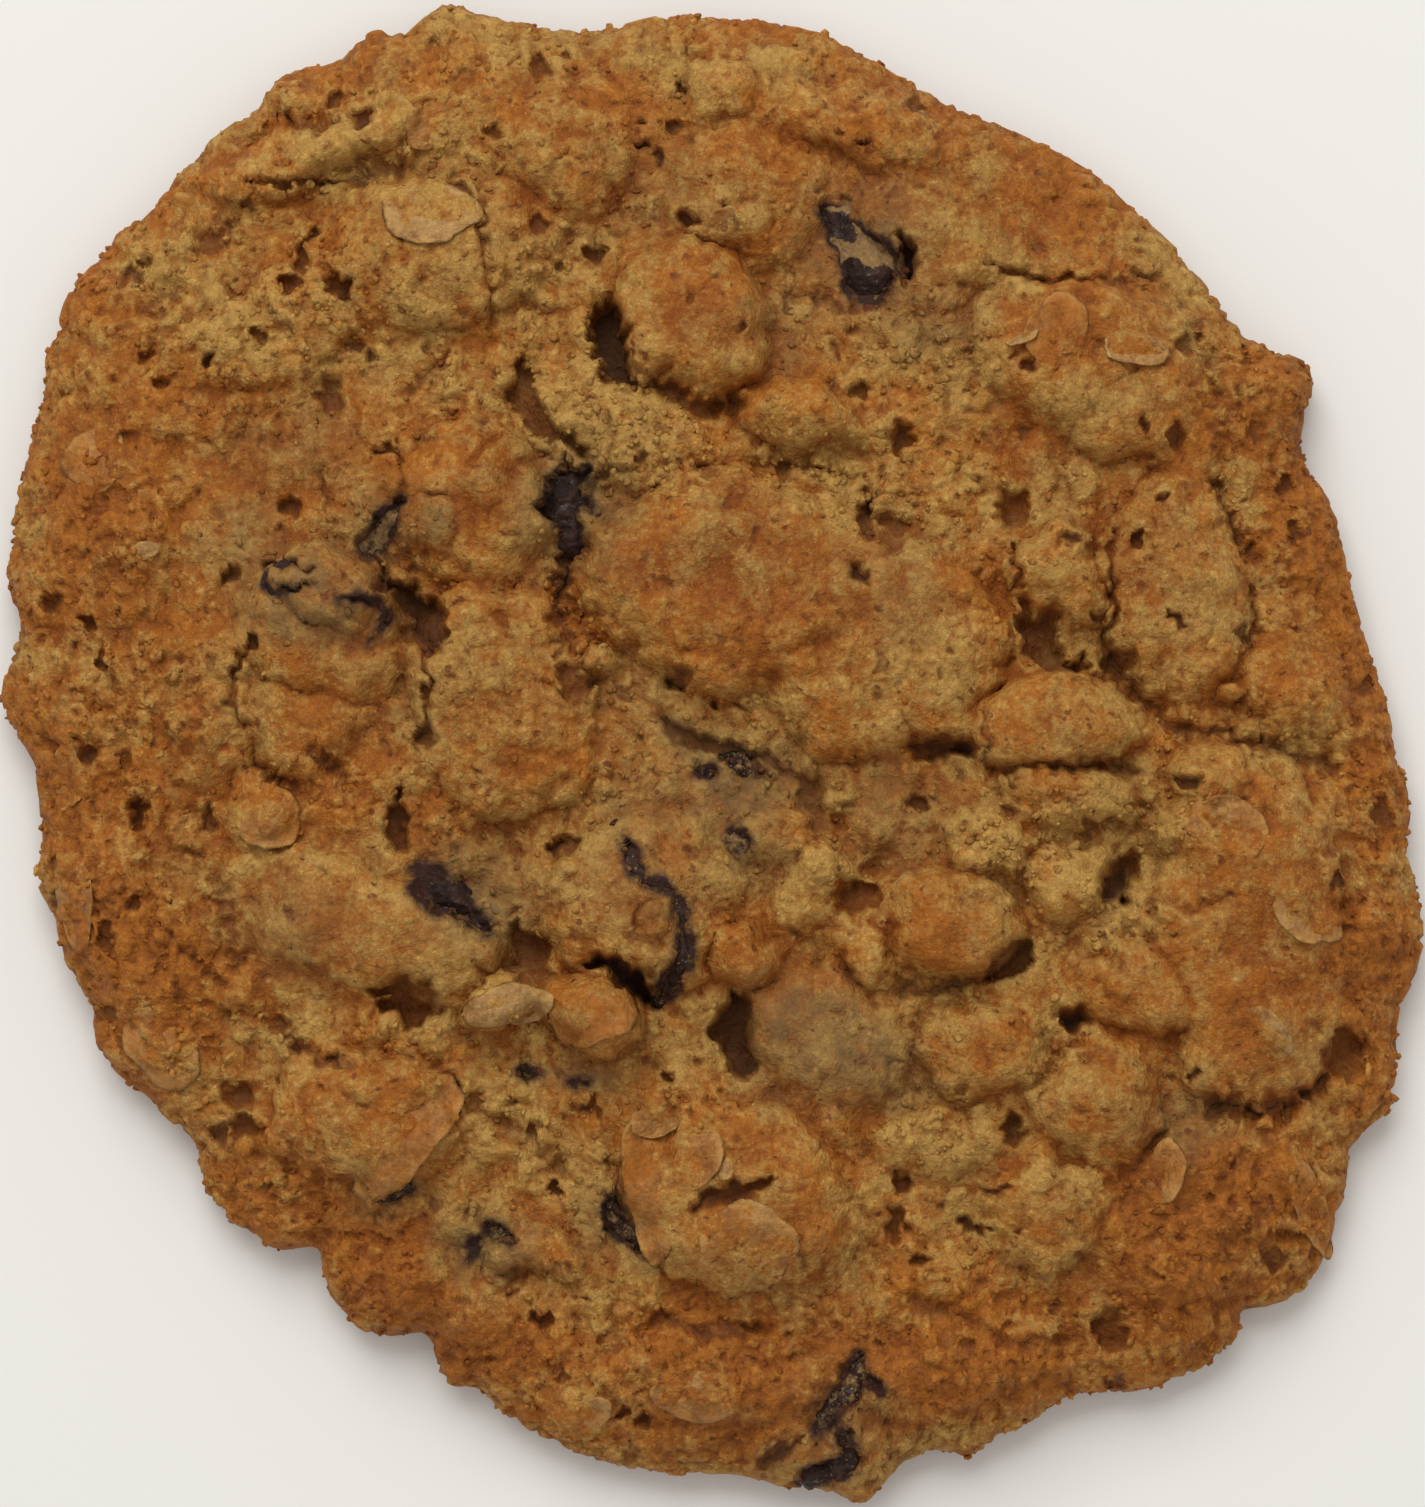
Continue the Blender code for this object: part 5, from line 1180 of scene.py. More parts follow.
class Tree:
    """A node tree that is written down step by step."""

    def __init__(self, tree: bpy.types.NodeTree) -> None:
        """Keeps the tree to add to."""
        self.tree = tree

    def node(self, kind: str, settings: Optional[dict] = None, inputs: Optional[dict] = None):
        """Adds a node.

        Args:
            kind: the node's type name.
            settings: its own settings.
            inputs: a value or a socket for inputs, by name or number.

        Returns:
            The node.
        """
        made = self.tree.nodes.new(kind)
        for key, value in (settings or {}).items():
            setattr(made, key, value)
        for key, value in (inputs or {}).items():
            if isinstance(value, bpy.types.NodeSocket):
                self.tree.links.new(value, made.inputs[key])
            else:
                made.inputs[key].default_value = value
        return made

    def math(self, operation: str, a, b=0.0, c=0.0, clamp: bool = False):
        """A Math node's result.

        Args:
            operation: what it does.
            a: first value or socket.
            b: second value or socket.
            c: third value or socket.
            clamp: whether the result stays within 0 and 1.

        Returns:
            The output socket.
        """
        return self.node(
            "ShaderNodeMath", {"operation": operation, "use_clamp": clamp}, {0: a, 1: b, 2: c}
        ).outputs[0]

    def mix(self, share, a, b):
        """A colour between a and b.

        Args:
            share: 0 for a and 1 for b.
            a: a colour or socket.
            b: a colour or socket.

        Returns:
            The output socket.
        """
        inputs = {0: share, 6: a, 7: b}
        return self.node("ShaderNodeMix", {"data_type": "RGBA"}, inputs).outputs[2]

    def steps(self, value, low: float, high: float):
        """A value spread from low..high to 0..1 and held there.

        Args:
            value: the socket.
            low: what becomes 0.
            high: what becomes 1.

        Returns:
            The output socket.
        """
        ends = {"Value": value, "From Min": low, "From Max": high}
        return self.node("ShaderNodeMapRange", {"clamp": True}, ends).outputs[0]

    def noise(self, vector, size: float, detail: float = 2.0, rough: float = 0.5):
        """Noise with lumps of a real size.

        Args:
            vector: where to read it.
            size: lump size in millimetres.
            detail: how many finer layers.
            rough: how strong they are.

        Returns:
            The output socket, about 0.3 to 0.7.
        """
        inputs = {
            "Vector": vector, "Scale": 1.0 / (size * MM), "Detail": detail, "Roughness": rough
        }
        return self.node("ShaderNodeTexNoise", {}, inputs).outputs["Fac"]

    def cells(self, vector, size: float):
        """Packed grains of a real size.

        Args:
            vector: where to read them.
            size: grain size in millimetres.

        Returns:
            The distance from a grain's middle, and a number from 0 to 1 for each grain.
        """
        inputs = {"Vector": vector, "Scale": 1.0 / (size * MM)}
        made = self.node("ShaderNodeTexVoronoi", {}, inputs)
        return made.outputs["Distance"], made.outputs["Color"]

    def weighted(self, start: float, *terms: tuple):
        """A sum of sockets.

        Args:
            start: what it starts from.
            terms: pairs of a socket and its weight.

        Returns:
            The output socket.
        """
        total = start
        for socket, weight in terms:
            total = self.math("MULTIPLY_ADD", socket, weight, total)
        return total

    def mask(self, name: str):
        """The socket of an attribute that set_mask kept."""
        return self.node("ShaderNodeAttribute", {"attribute_name": name}).outputs["Fac"]

    def join(self, socket, node: bpy.types.Node, key: str) -> None:
        """Links a socket to a node's input.

        Args:
            socket: the socket.
            node: the node.
            key: the input's name.
        """
        self.tree.links.new(socket, node.inputs[key])

    def bump(self, shader: bpy.types.Node, height, strength: float, deep: float) -> None:
        """Gives a shader a bumpy surface.

        Args:
            shader: the shader.
            height: the socket with the bumps' height.
            strength: how much of it counts.
            deep: how deep it is, in millimetres.
        """
        inputs = {"Strength": strength, "Distance": deep * MM, "Height": height}
        self.join(self.node("ShaderNodeBump", {}, inputs).outputs[0], shader, "Normal")


def group(name: str, inputs: dict[str, tuple], outputs: dict[str, str]) -> tuple:
    """An empty shader node group.

    Args:
        name: the group's name.
        inputs: each input's socket type and default value.
        outputs: each output's socket type.

    Returns:
        The group, a Tree on it, its input node and its output node.
    """
    made = bpy.data.node_groups.new(name, "ShaderNodeTree")
    for key, (kind, default) in inputs.items():
        socket = made.interface.new_socket(key, in_out="INPUT", socket_type=kind)
        if default is not None:
            socket.default_value = default
    for key, kind in outputs.items():
        made.interface.new_socket(key, in_out="OUTPUT", socket_type=kind)
    tree = Tree(made)
    return made, tree, tree.node("NodeGroupInput"), tree.node("NodeGroupOutput")


def crumb_group() -> bpy.types.NodeTree:
    """Fine baked crumb for any surface of the cookie.

    Returns:
        A group whose outputs are a tone from dark to light and a drift from orange to
        yellow, both about nought, a soft patchiness and dark specks from 0 to 1, and a height.
    """
    made, tree, start, end = group(
        "fine crumb",
        {"Vector": ("NodeSocketVector", None), "Coarse": ("NodeSocketFloat", 1.0)},
        {"Tone": "NodeSocketFloat", "Drift": "NodeSocketFloat", "Patchy": "NodeSocketFloat",
         "Dark": "NodeSocketFloat", "Height": "NodeSocketFloat"},
    )
    at = start.outputs["Vector"]
    broad, middle = tree.noise(at, 5.0, 2.0, 0.6), tree.noise(at, 1.5, 3.0, 0.65)
    fine, tiny = tree.noise(at, 0.6, 3.0, 0.75), tree.noise(at, 0.24, 1.0, 0.6)
    away, pick = tree.cells(at, 0.5)
    glint = tree.steps(tree.noise(at, 0.2, 1.0, 0.6), 0.60, 0.72)
    tone = tree.weighted(
        -0.735, (broad, 0.3), (middle, 0.42), (fine, 0.5), (tiny, 0.3), (pick, 0.2),
        (away, -0.25), (glint, 0.4),
    )
    elsewhere = {0: at, 1: (0.03, 0.05, 0.02)}
    other = tree.node("ShaderNodeVectorMath", {"operation": "ADD"}, elsewhere).outputs[0]
    areas, spots = tree.noise(other, 6.5, 2.0, 0.6), tree.noise(other, 1.9, 3.0, 0.6)
    drift = tree.weighted(-3.92, (areas, 3.1), (spots, 1.8), (fine, 2.5), (tiny, 0.4))
    crowd = tree.steps(tree.noise(at, 3.5, 1.0, 0.5), 0.40, 0.62)
    holes = tree.weighted(0.0, (tree.noise(at, 0.8, 2.0, 0.55), 1.0), (crowd, 0.07))
    pores = tree.steps(holes, 0.69, 0.78)
    coarse = tree.math("MULTIPLY", tree.noise(at, 0.9, 3.0, 0.65), start.outputs["Coarse"])
    height = tree.weighted(
        0.0, (tree.noise(at, 0.36, 3.0, 0.7), 1.0), (away, -0.50), (pores, -0.5), (coarse, 1.0)
    )
    tree.join(tone, end, "Tone")
    tree.join(drift, end, "Drift")
    tree.join(tree.steps(middle, 0.38, 0.62), end, "Patchy")
    tree.join(pores, end, "Dark")
    tree.join(height, end, "Height")
    return made


def crumbed(name: str, crumb: bpy.types.NodeTree, coarse: float) -> tuple:
    """A new material that holds the fine crumb.

    Args:
        name: the material's name.
        crumb: the fine crumb group.
        coarse: how strong its coarser lumps are.

    Returns:
        The material, a Tree on it, its shader, the place on the piece, and the crumb's
        outputs.
    """
    made = bpy.data.materials.new(name)
    made.use_nodes = True
    tree = Tree(made.node_tree)
    at = tree.node("ShaderNodeTexCoord").outputs["Object"]
    inputs = {"Vector": at, "Coarse": coarse}
    fine = tree.node("ShaderNodeGroup", {"node_tree": crumb}, inputs).outputs
    return made, tree, made.node_tree.nodes["Principled BSDF"], at, fine


@dataclass(frozen=True)
class DoughFinish:
    """Baked oat dough, from pale crumb to toasted knobs, stained round the fruit, with painted
    highlight on proud bits and painted shade in dips, cracks and holes.
    """

    orange_dark: tuple = (128, 68, 22)
    orange_light: tuple = (190, 120, 44)
    yellow_dark: tuple = (130, 90, 41)
    yellow_light: tuple = (206, 163, 88)
    stain: tuple = (112, 88, 56)
    plum: tuple = (58, 38, 31)
    # Painted shade colour for cracks and holes.
    hollow: tuple = (102, 64, 37)
    speck: tuple = (112, 54, 28)
    # Painted shade colour for the deepest cracks and holes.
    deepest_shade: tuple = (44, 26, 17)
    coarse: float = 1.5
    gloss: float = 0.16
    bump: float = 0.20
    bump_strength: float = 0.9

    def material(self, crumb: bpy.types.NodeTree) -> bpy.types.Material:
        """Builds the dough's material.

        Args:
            crumb: the fine crumb group.

        Returns:
            The material.
        """
        made, tree, shader, at, fine = crumbed("baked_dough", crumb, self.coarse)
        knob_highlight, dip_shade, torn, rim = (tree.mask(name) for name in ("knob_highlight", "dip_shade", "crumb", "rim"))
        patchy = fine["Patchy"]
        toast = tree.math("MULTIPLY", tree.mask("toast"), tree.weighted(0.6, (patchy, 0.5)))
        # Proud bits are painted lighter and yellower and dips darker and redder: painted
        # highlight and painted shade.
        tone = tree.weighted(
            0.41, (fine["Tone"], 1.0), (knob_highlight, 0.15), (dip_shade, -0.26), (torn, 0.05), (toast, -0.30),
            (tree.mask("grain_tone"), 0.3),
        )
        yellow = tree.weighted(
            0.51, (fine["Drift"], 1.0), (torn, 0.26), (toast, -0.80), (rim, -0.62), (knob_highlight, 0.26),
            (dip_shade, -0.34),
        )
        dark = tree.mix(yellow, linear(*self.orange_dark), linear(*self.yellow_dark))
        light = tree.mix(yellow, linear(*self.orange_light), linear(*self.yellow_light))
        colour = tree.mix(tone, dark, light)
        stain = tree.math("MULTIPLY", tree.mask("stain"), tree.weighted(0.3, (patchy, 0.5)))
        colour = tree.mix(stain, colour, linear(*self.stain))
        soaked = tree.math("MULTIPLY", tree.mask("plum"), tree.weighted(0.6, (patchy, 0.8)))
        colour = tree.mix(tree.steps(soaked, 0.2, 0.95), colour, linear(*self.plum))
        colour = tree.mix(tree.math("MULTIPLY", fine["Dark"], 0.8), colour, linear(*self.speck))
        pitted = tree.steps(tree.noise(at, 0.75, 3.0, 0.6), 0.56, 0.66)
        rimmed = tree.weighted(0.12, (rim, 0.55), (knob_highlight, -0.3))
        pitted = tree.math("MULTIPLY", pitted, rimmed, clamp=True)
        colour = tree.mix(pitted, colour, linear(*self.speck))
        # Painted shade in cracks, pits and holes: brown, and near black in the deepest.
        hollow = tree.mask("hollow")
        colour = tree.mix(tree.math("MULTIPLY", hollow, 0.75), colour, linear(*self.hollow))
        colour = tree.mix(tree.steps(hollow, 0.82, 1.0), colour, linear(*self.deepest_shade))
        tree.join(colour, shader, "Base Color")
        tree.join(tree.weighted(0.56, (patchy, 0.2)), shader, "Roughness")
        shader.inputs["Specular IOR Level"].default_value = self.gloss
        tree.bump(shader, fine["Height"], self.bump_strength, self.bump)
        return made


@dataclass(frozen=True)
class RaisinFinish:
    """Wrinkled dark skin with a soft gloss, a painted highlight on its wrinkle crests, and a film
    of dough on it.
    """

    skin: tuple = (38, 23, 18)
    ridge_highlight: tuple = (70, 46, 38)
    film: tuple = (104, 78, 50)
    film_pale: tuple = (160, 128, 84)
    coarse: float = 0.8
    rough: float = 0.52
    gloss: float = 0.17
    bump: float = 0.22
    bump_strength: float = 0.8

    def material(self, crumb: bpy.types.NodeTree) -> bpy.types.Material:
        """Builds the raisins' material.

        Args:
            crumb: the fine crumb group.

        Returns:
            The material.
        """
        made, tree, shader, at, fine = crumbed("raisin_skin", crumb, self.coarse)
        tone = fine["Tone"]
        worn = tree.weighted(0.3, (fine["Patchy"], 0.8))
        # The wrinkle crests are painted lighter: painted highlight.
        ridge_highlight = tree.math("MULTIPLY", tree.mask("ridge_highlight"), worn)
        colour = tree.mix(ridge_highlight, linear(*self.skin), linear(*self.ridge_highlight))
        ragged = tree.noise(at, 1.1, 4.0, 0.75)
        level = tree.weighted(-0.5, (tree.mask("coat"), 1.0), (ragged, 1.0), (tone, 0.6))
        film = tree.steps(level, 0.36, 0.62)
        pale = tree.weighted(0.5, (tone, 1.2))
        film_colour = tree.mix(pale, linear(*self.film), linear(*self.film_pale))
        wet = tree.steps(tree.noise(at, 0.7, 2.0, 0.6), 0.58, 0.66)
        rough = tree.weighted(self.rough, (film, 0.3), (wet, -0.22))
        gloss = tree.weighted(self.gloss, (wet, 0.35), (film, -0.12))
        tree.join(tree.mix(film, colour, film_colour), shader, "Base Color")
        tree.join(rough, shader, "Roughness")
        tree.join(gloss, shader, "Specular IOR Level")
        tree.bump(shader, fine["Height"], self.bump_strength, self.bump)
        return made


@dataclass(frozen=True)
class OatFinish:
    """A rolled oat flake: fine fibres along it, a rim painted pale as a highlight, and a toasted
    face.
    """

    pale: tuple = (184, 146, 92)
    orange: tuple = (172, 104, 36)
    # Painted highlight colour for the flake's rim.
    edge: tuple = (196, 148, 82)
    shade: tuple = (122, 76, 32)
    coarse: float = 0.6
    gloss: float = 0.18
    bump: float = 0.16
    bump_strength: float = 0.8

    def material(self, crumb: bpy.types.NodeTree) -> bpy.types.Material:
        """Builds the flakes' material.

        Args:
            crumb: the fine crumb group.

        Returns:
            The material.
        """
        made, tree, shader, _, fine = crumbed("oat_flake", crumb, self.coarse)
        axes = {"X": tree.mask("along"), "Y": tree.mask("across"), "Z": tree.mask("whose")}
        flat = tree.node("ShaderNodeCombineXYZ", {}, axes).outputs[0]
        streaks = {"Vector": flat, "Scale": 1.0, "Detail": 3.0, "Roughness": 0.6}
        fibres = tree.node("ShaderNodeTexNoise", {}, streaks).outputs["Fac"]
        toasted = tree.weighted(0.0, (tree.mask("toasted"), 1.0), (fine["Drift"], -0.7))
        colour = tree.mix(toasted, linear(*self.pale), linear(*self.orange))
        patchy = fine["Patchy"]
        shade = tree.weighted(0.75, (fibres, -0.35), (fine["Tone"], -1.2), (patchy, -0.35))
        colour = tree.mix(shade, colour, linear(*self.shade))
        colour = tree.mix(tree.math("MULTIPLY", fine["Dark"], 0.6), colour, linear(*self.shade))
        # The flake's rim is painted lighter: painted highlight along the edge.
        rim = tree.math("MULTIPLY", tree.mask("edge"), tree.weighted(0.0, (patchy, 0.7)))
        tree.join(tree.mix(rim, colour, linear(*self.edge)), shader, "Base Color")
        tree.join(tree.weighted(0.45, (patchy, 0.2)), shader, "Roughness")
        shader.inputs["Specular IOR Level"].default_value = self.gloss
        height = tree.weighted(0.0, (fibres, 0.5), (fine["Height"], 1.2))
        tree.bump(shader, height, self.bump_strength, self.bump)
        return made


@dataclass(frozen=True)
class FloorFinish:
    """A plain pale sweep."""

    colour: tuple = (238, 238, 236)
    rough: float = 0.9

    def material(self) -> bpy.types.Material:
        """Builds the floor's material.

        Returns:
            The material.
        """
        made = bpy.data.materials.new("pale_floor")
        made.use_nodes = True
        shader = made.node_tree.nodes["Principled BSDF"]
        shader.inputs["Base Color"].default_value = linear(*self.colour)
        shader.inputs["Roughness"].default_value = self.rough
        return made


# ---------------------------------------------------------------- the pieces

@dataclass
class Dough:
    """The dough: one closed mesh, fine on top and shallowly dented underneath."""

    relief: Relief
    finish: DoughFinish
    rings: int = 290
    edge_rings: int = 30
    foot_rings: int = 12
    foot_inset: float = 1.6
    sole_rings: int = 90
    sole_dent: float = 0.45
    sole_pore: float = 0.3
    triangles: int = 186000
    wall_noise: float = 0.13
    crust_wide: float = 5.0
    crust_deep: float = 0.42
    crust_foot: float = 0.8
    open_bends: tuple = ((0.42, 1.3, 61, 63), (0.3, 0.6, 62, 64))
    open_soft: float = 0.5
    plum_reach: float = 1.0
    under_height: float = 1.2
    calm_rounds: int = 14
    knob_rise: float = 0.25
    dip_fall: float = 0.35

    def opened(self, x: Array, y: Array, height: Array, fruit: "Raisins") -> Array:
        """Takes the dough away where it is missing over a raisin.

        Args:
            x: places across.
            y: places up.
            height: the dough's height there.
            fruit: the raisins.

        Returns:
            The height with its openings.
        """
        sy = self.relief.seen_up(x, y)
        wx, wy = bent(x, sy, self.open_bends)
        for raisin in RAISINS:
            marks = fruit.marks(raisin)
            place = nearest_on_path(x, y, fruit.plan_points(raisin))[1] * marks[-1]
            floor = np.interp(place, marks, fruit.levels(raisin))
            floor = floor + raisin.half_high - raisin.depth
            for chain in raisin.open:
                away = bead_distance(wx, wy, chain)
                cut = fade(np.clip(0.5 - away / self.open_soft, 0.0, 1.0))
                height = height + (np.minimum(height, floor) - height) * cut
        return height

    def plum(self, x: Array, y: Array) -> Array:
        """How much raisin colour has soaked into the dough.

        Args:
            x: places across.
            y: places up.

        Returns:
            From 0 to 1 at each place.
        """
        sy = self.relief.seen_up(x, y)
        total = np.zeros_like(x)
        for raisin in RAISINS:
            for chain in raisin.open:
                near = np.clip(1.0 - bead_distance(x, sy, chain) / self.plum_reach, 0.0, 1.0)
                total = np.maximum(total, near**1.5)
        return total

    def rows(self) -> list:
        """The rings, as (count, inset, share of the outline, level or None on top).

        Returns:
            The rings from the top's middle to the underside's.
        """
        rings = self.rings
        reach = 1.0 - self.relief.edge_round / self.relief.outline.short_half
        rows = [(6 * k, 0.0, reach * k / (rings - 1), None) for k in range(1, rings)]
        for step in range(1, self.edge_rings + 1):
            swing = 0.5 * math.pi * step / self.edge_rings
            rows.append((6 * rings, 0.0, 1.0 - (1.0 - reach) * (1.0 - math.sin(swing)), None))
        for step in range(1, self.foot_rings + 1):
            swing = 0.5 * math.pi * step / self.foot_rings
            inset = self.foot_inset * (1.0 - math.cos(swing))
            rows.append((6 * rings, inset, 1.0, self.relief.edge_level * (1.0 - math.sin(swing))))
        for step in range(self.sole_rings, 0, -1):
            rows.append((6 * step, self.foot_inset, step / (self.sole_rings + 1.0), 0.0))
        return rows

    def sole(self, x: Array, y: Array) -> tuple[Array, Array]:
        """The baked underside's shallow dents and small pores.

        Args:
            x: places across.
            y: places up.

        Returns:
            How far it stands off the tray, and how much shade is painted in its pores.
        """
        dents = lattice_noise(x, y, 6.0, 31) + 0.4 * lattice_noise(x, y, 2.4, 33)
        dents = np.clip(dents - 0.05, 0.0, 1.0)
        pores = np.clip((lattice_noise(x, y, 1.5, 32) - 0.42) * 4.0, 0.0, 1.0)
        return self.sole_dent * dents + self.sole_pore * pores, 0.7 * pores

    def build(self, fruit: "Raisins") -> bpy.types.Object:
        """Makes the mesh and its masks.

        Args:
            fruit: the raisins, over which it is open.

        Returns:
            The dough.
        """
        outline = self.relief.outline
        xs, ys, levels, faces = [np.zeros(1)], [np.zeros(1)], [np.full(1, np.nan)], []
        start, before, before_count = 1, 0, 1
        for count, inset, share, level in self.rows():
            angle = np.arange(count) * 2.0 * math.pi / count
            radius = (outline.radius(angle) - inset) * share
            xs.append(radius * np.cos(angle))
            ys.append(radius * np.sin(angle))
            levels.append(np.full(count, np.nan if level is None else level))
            if count >= before_count:
                faces.append(stitch(before, before_count, start, count))
            else:
                faces.append(stitch(start, count, before, before_count)[:, ::-1])
            start, before, before_count = start + count, start, count
        xs.append(np.zeros(1))
        ys.append(np.zeros(1))
        levels.append(np.zeros(1))
        faces.append(stitch(start, 1, before, before_count)[:, ::-1])
        x, y, level = (np.concatenate(parts) for parts in (xs, ys, levels))
        on_top = np.isnan(level)
        height = self.relief.survey(x[on_top], y[on_top])["height"]
        level[on_top] = self.opened(x[on_top], y[on_top], height, fruit)
        sole = level == 0.0
        level[sole] = self.sole(x[sole], y[sole])[0]
        points, faces = np.stack([x, y, level], axis=1), np.concatenate(faces)
        piece = new_object("dough_crumb", self.weather(points, faces), faces, outline.middle())
        fewer = piece.modifiers.new("fewer", "DECIMATE")
        fewer.ratio = min(1.0, self.triangles / len(faces))
        applied(piece)
        places = mesh_points(piece, np.zeros(3)) * MM
        places[:, 2] = np.maximum(places[:, 2], 0.0)
        piece.data.vertices.foreach_set("co", places.ravel())
        piece.data.update()
        self.dress(piece)
        return piece

    def weather(self, points: Array, faces: Array) -> Array:
        """Roughens the walls sideways, so that lumps overhang a little.

        Args:
            points: the smooth points.
            faces: the triangles.

        Returns:
            The moved points, within the outline and above the floor.
        """
        normals = point_normals(points, faces)
        push = solid_noise(points, 1.5, 71) + 0.6 * solid_noise(points, 0.7, 72)
        steep = np.clip(1.3 - np.abs(normals[:, 2]), 0.25, 1.0)
        steep *= np.clip(points[:, 2] / self.crust_foot, 0.0, 1.0)
        grains, share = self.crust(points)
        push = push * self.wall_noise * steep + self.crust_deep * share * grains
        moved = points + normals * push[:, None]
        angle = np.arctan2(moved[:, 1], moved[:, 0])
        reach = np.hypot(moved[:, 0], moved[:, 1])
        most = self.relief.outline.radius(angle) + 0.05
        moved[:, :2] *= np.minimum(1.0, most / np.maximum(reach, 1e-9))[:, None]
        moved[:, 2] = np.maximum(moved[:, 2], 0.0)
        return moved

    def crust(self, points: Array) -> tuple[Array, Array]:
        """The grains of the torn crust at the rim and in crumbly places.

        Args:
            points: places, one to a row.

        Returns:
            How far down between grains a place is, from 0 to -1, and how much crust
            there is.
        """
        x, y = points[:, 0], points[:, 1]
        inward = self.relief.outline.radius(np.arctan2(y, x)) - np.hypot(x, y)
        sy = self.relief.seen_up(x, y)
        zone = self.relief.zone
        share = np.maximum(0.9 * zone(Zone.RIM, x, sy), 0.5 * zone(Zone.CRUMB, x, sy))
        share = np.maximum(share, np.clip(1.2 - inward / self.crust_wide, 0.0, 1.0))
        share *= np.clip(points[:, 2] / self.crust_foot, 0.0, 1.0)
        large, small = (np.abs(solid_noise(points, *n)) for n in ((1.4, 73), (0.7, 74)))
        return np.minimum(1.5 * large + 1.1 * small, 1.0) - 1.0, share

    def dress(self, piece: bpy.types.Object) -> None:
        """Keeps the masks that the material reads.

        Args:
            piece: the finished dough mesh.
        """
        points = mesh_points(piece, self.relief.outline.middle())
        masks = self.relief.survey(points[:, 0], points[:, 1])
        grains, share = self.crust(points)
        # Painted shade in the gaps between the crust's grains.
        crust_gap_shade = 0.6 * share * np.clip(-1.9 - 3.4 * grains, 0.0, 1.0)
        masks["hollow"] = np.maximum(masks["hollow"], crust_gap_shade)
        under = points[:, 2] < self.under_height
        for name in ("toast", "crumb", "stain", "rim", "hollow"):
            values = np.where(under, 0.0, masks[name])
            if name == "hollow":
                values = np.where(under, self.sole(points[:, 0], points[:, 1])[1], values)
            if name == "rim":
                values = np.maximum(values, np.clip(1.6 - points[:, 2] / 2.6, 0.0, 1.0))
            set_mask(piece, name, values)
        proud = self.proud(piece, points)
        # Masks for the painted highlight on proud bits and the painted shade in dips.
        set_mask(piece, "knob_highlight", np.clip(proud / self.knob_rise, 0.0, 1.0))
        set_mask(piece, "dip_shade", np.clip(-proud / self.dip_fall, 0.0, 1.0))
        loose = 0.04 + 0.6 * masks["crumb"] + 0.1 * masks["rim"]
        loose = loose - 0.8 * masks["smooth"] - masks["hollow"]
        set_mask(piece, "loose", np.where(under, 0.0, np.clip(loose, 0.0, 1.0)))
        set_mask(piece, "plum", np.where(under, 0.0, self.plum(points[:, 0], points[:, 1])))

    def proud(self, piece: bpy.types.Object, points: Array) -> Array:
        """How far the surface stands above what is round it.

        Args:
            piece: the dough.
            points: its points in millimetres.

        Returns:
            Millimetres at each point, below nought in a dip.
        """
        edges = np.empty(2 * len(piece.data.edges), np.int32)
        piece.data.edges.foreach_get("vertices", edges)
        edges = edges.reshape(-1, 2)
        count = np.bincount(edges.ravel(), minlength=len(points))
        calm = points[:, 2].copy()
        for _ in range(self.calm_rounds):
            total = np.bincount(edges[:, 0], calm[edges[:, 1]], len(points))
            total += np.bincount(edges[:, 1], calm[edges[:, 0]], len(points))
            calm = 0.5 * calm + 0.5 * total / np.maximum(count, 1)
        return points[:, 2] - calm


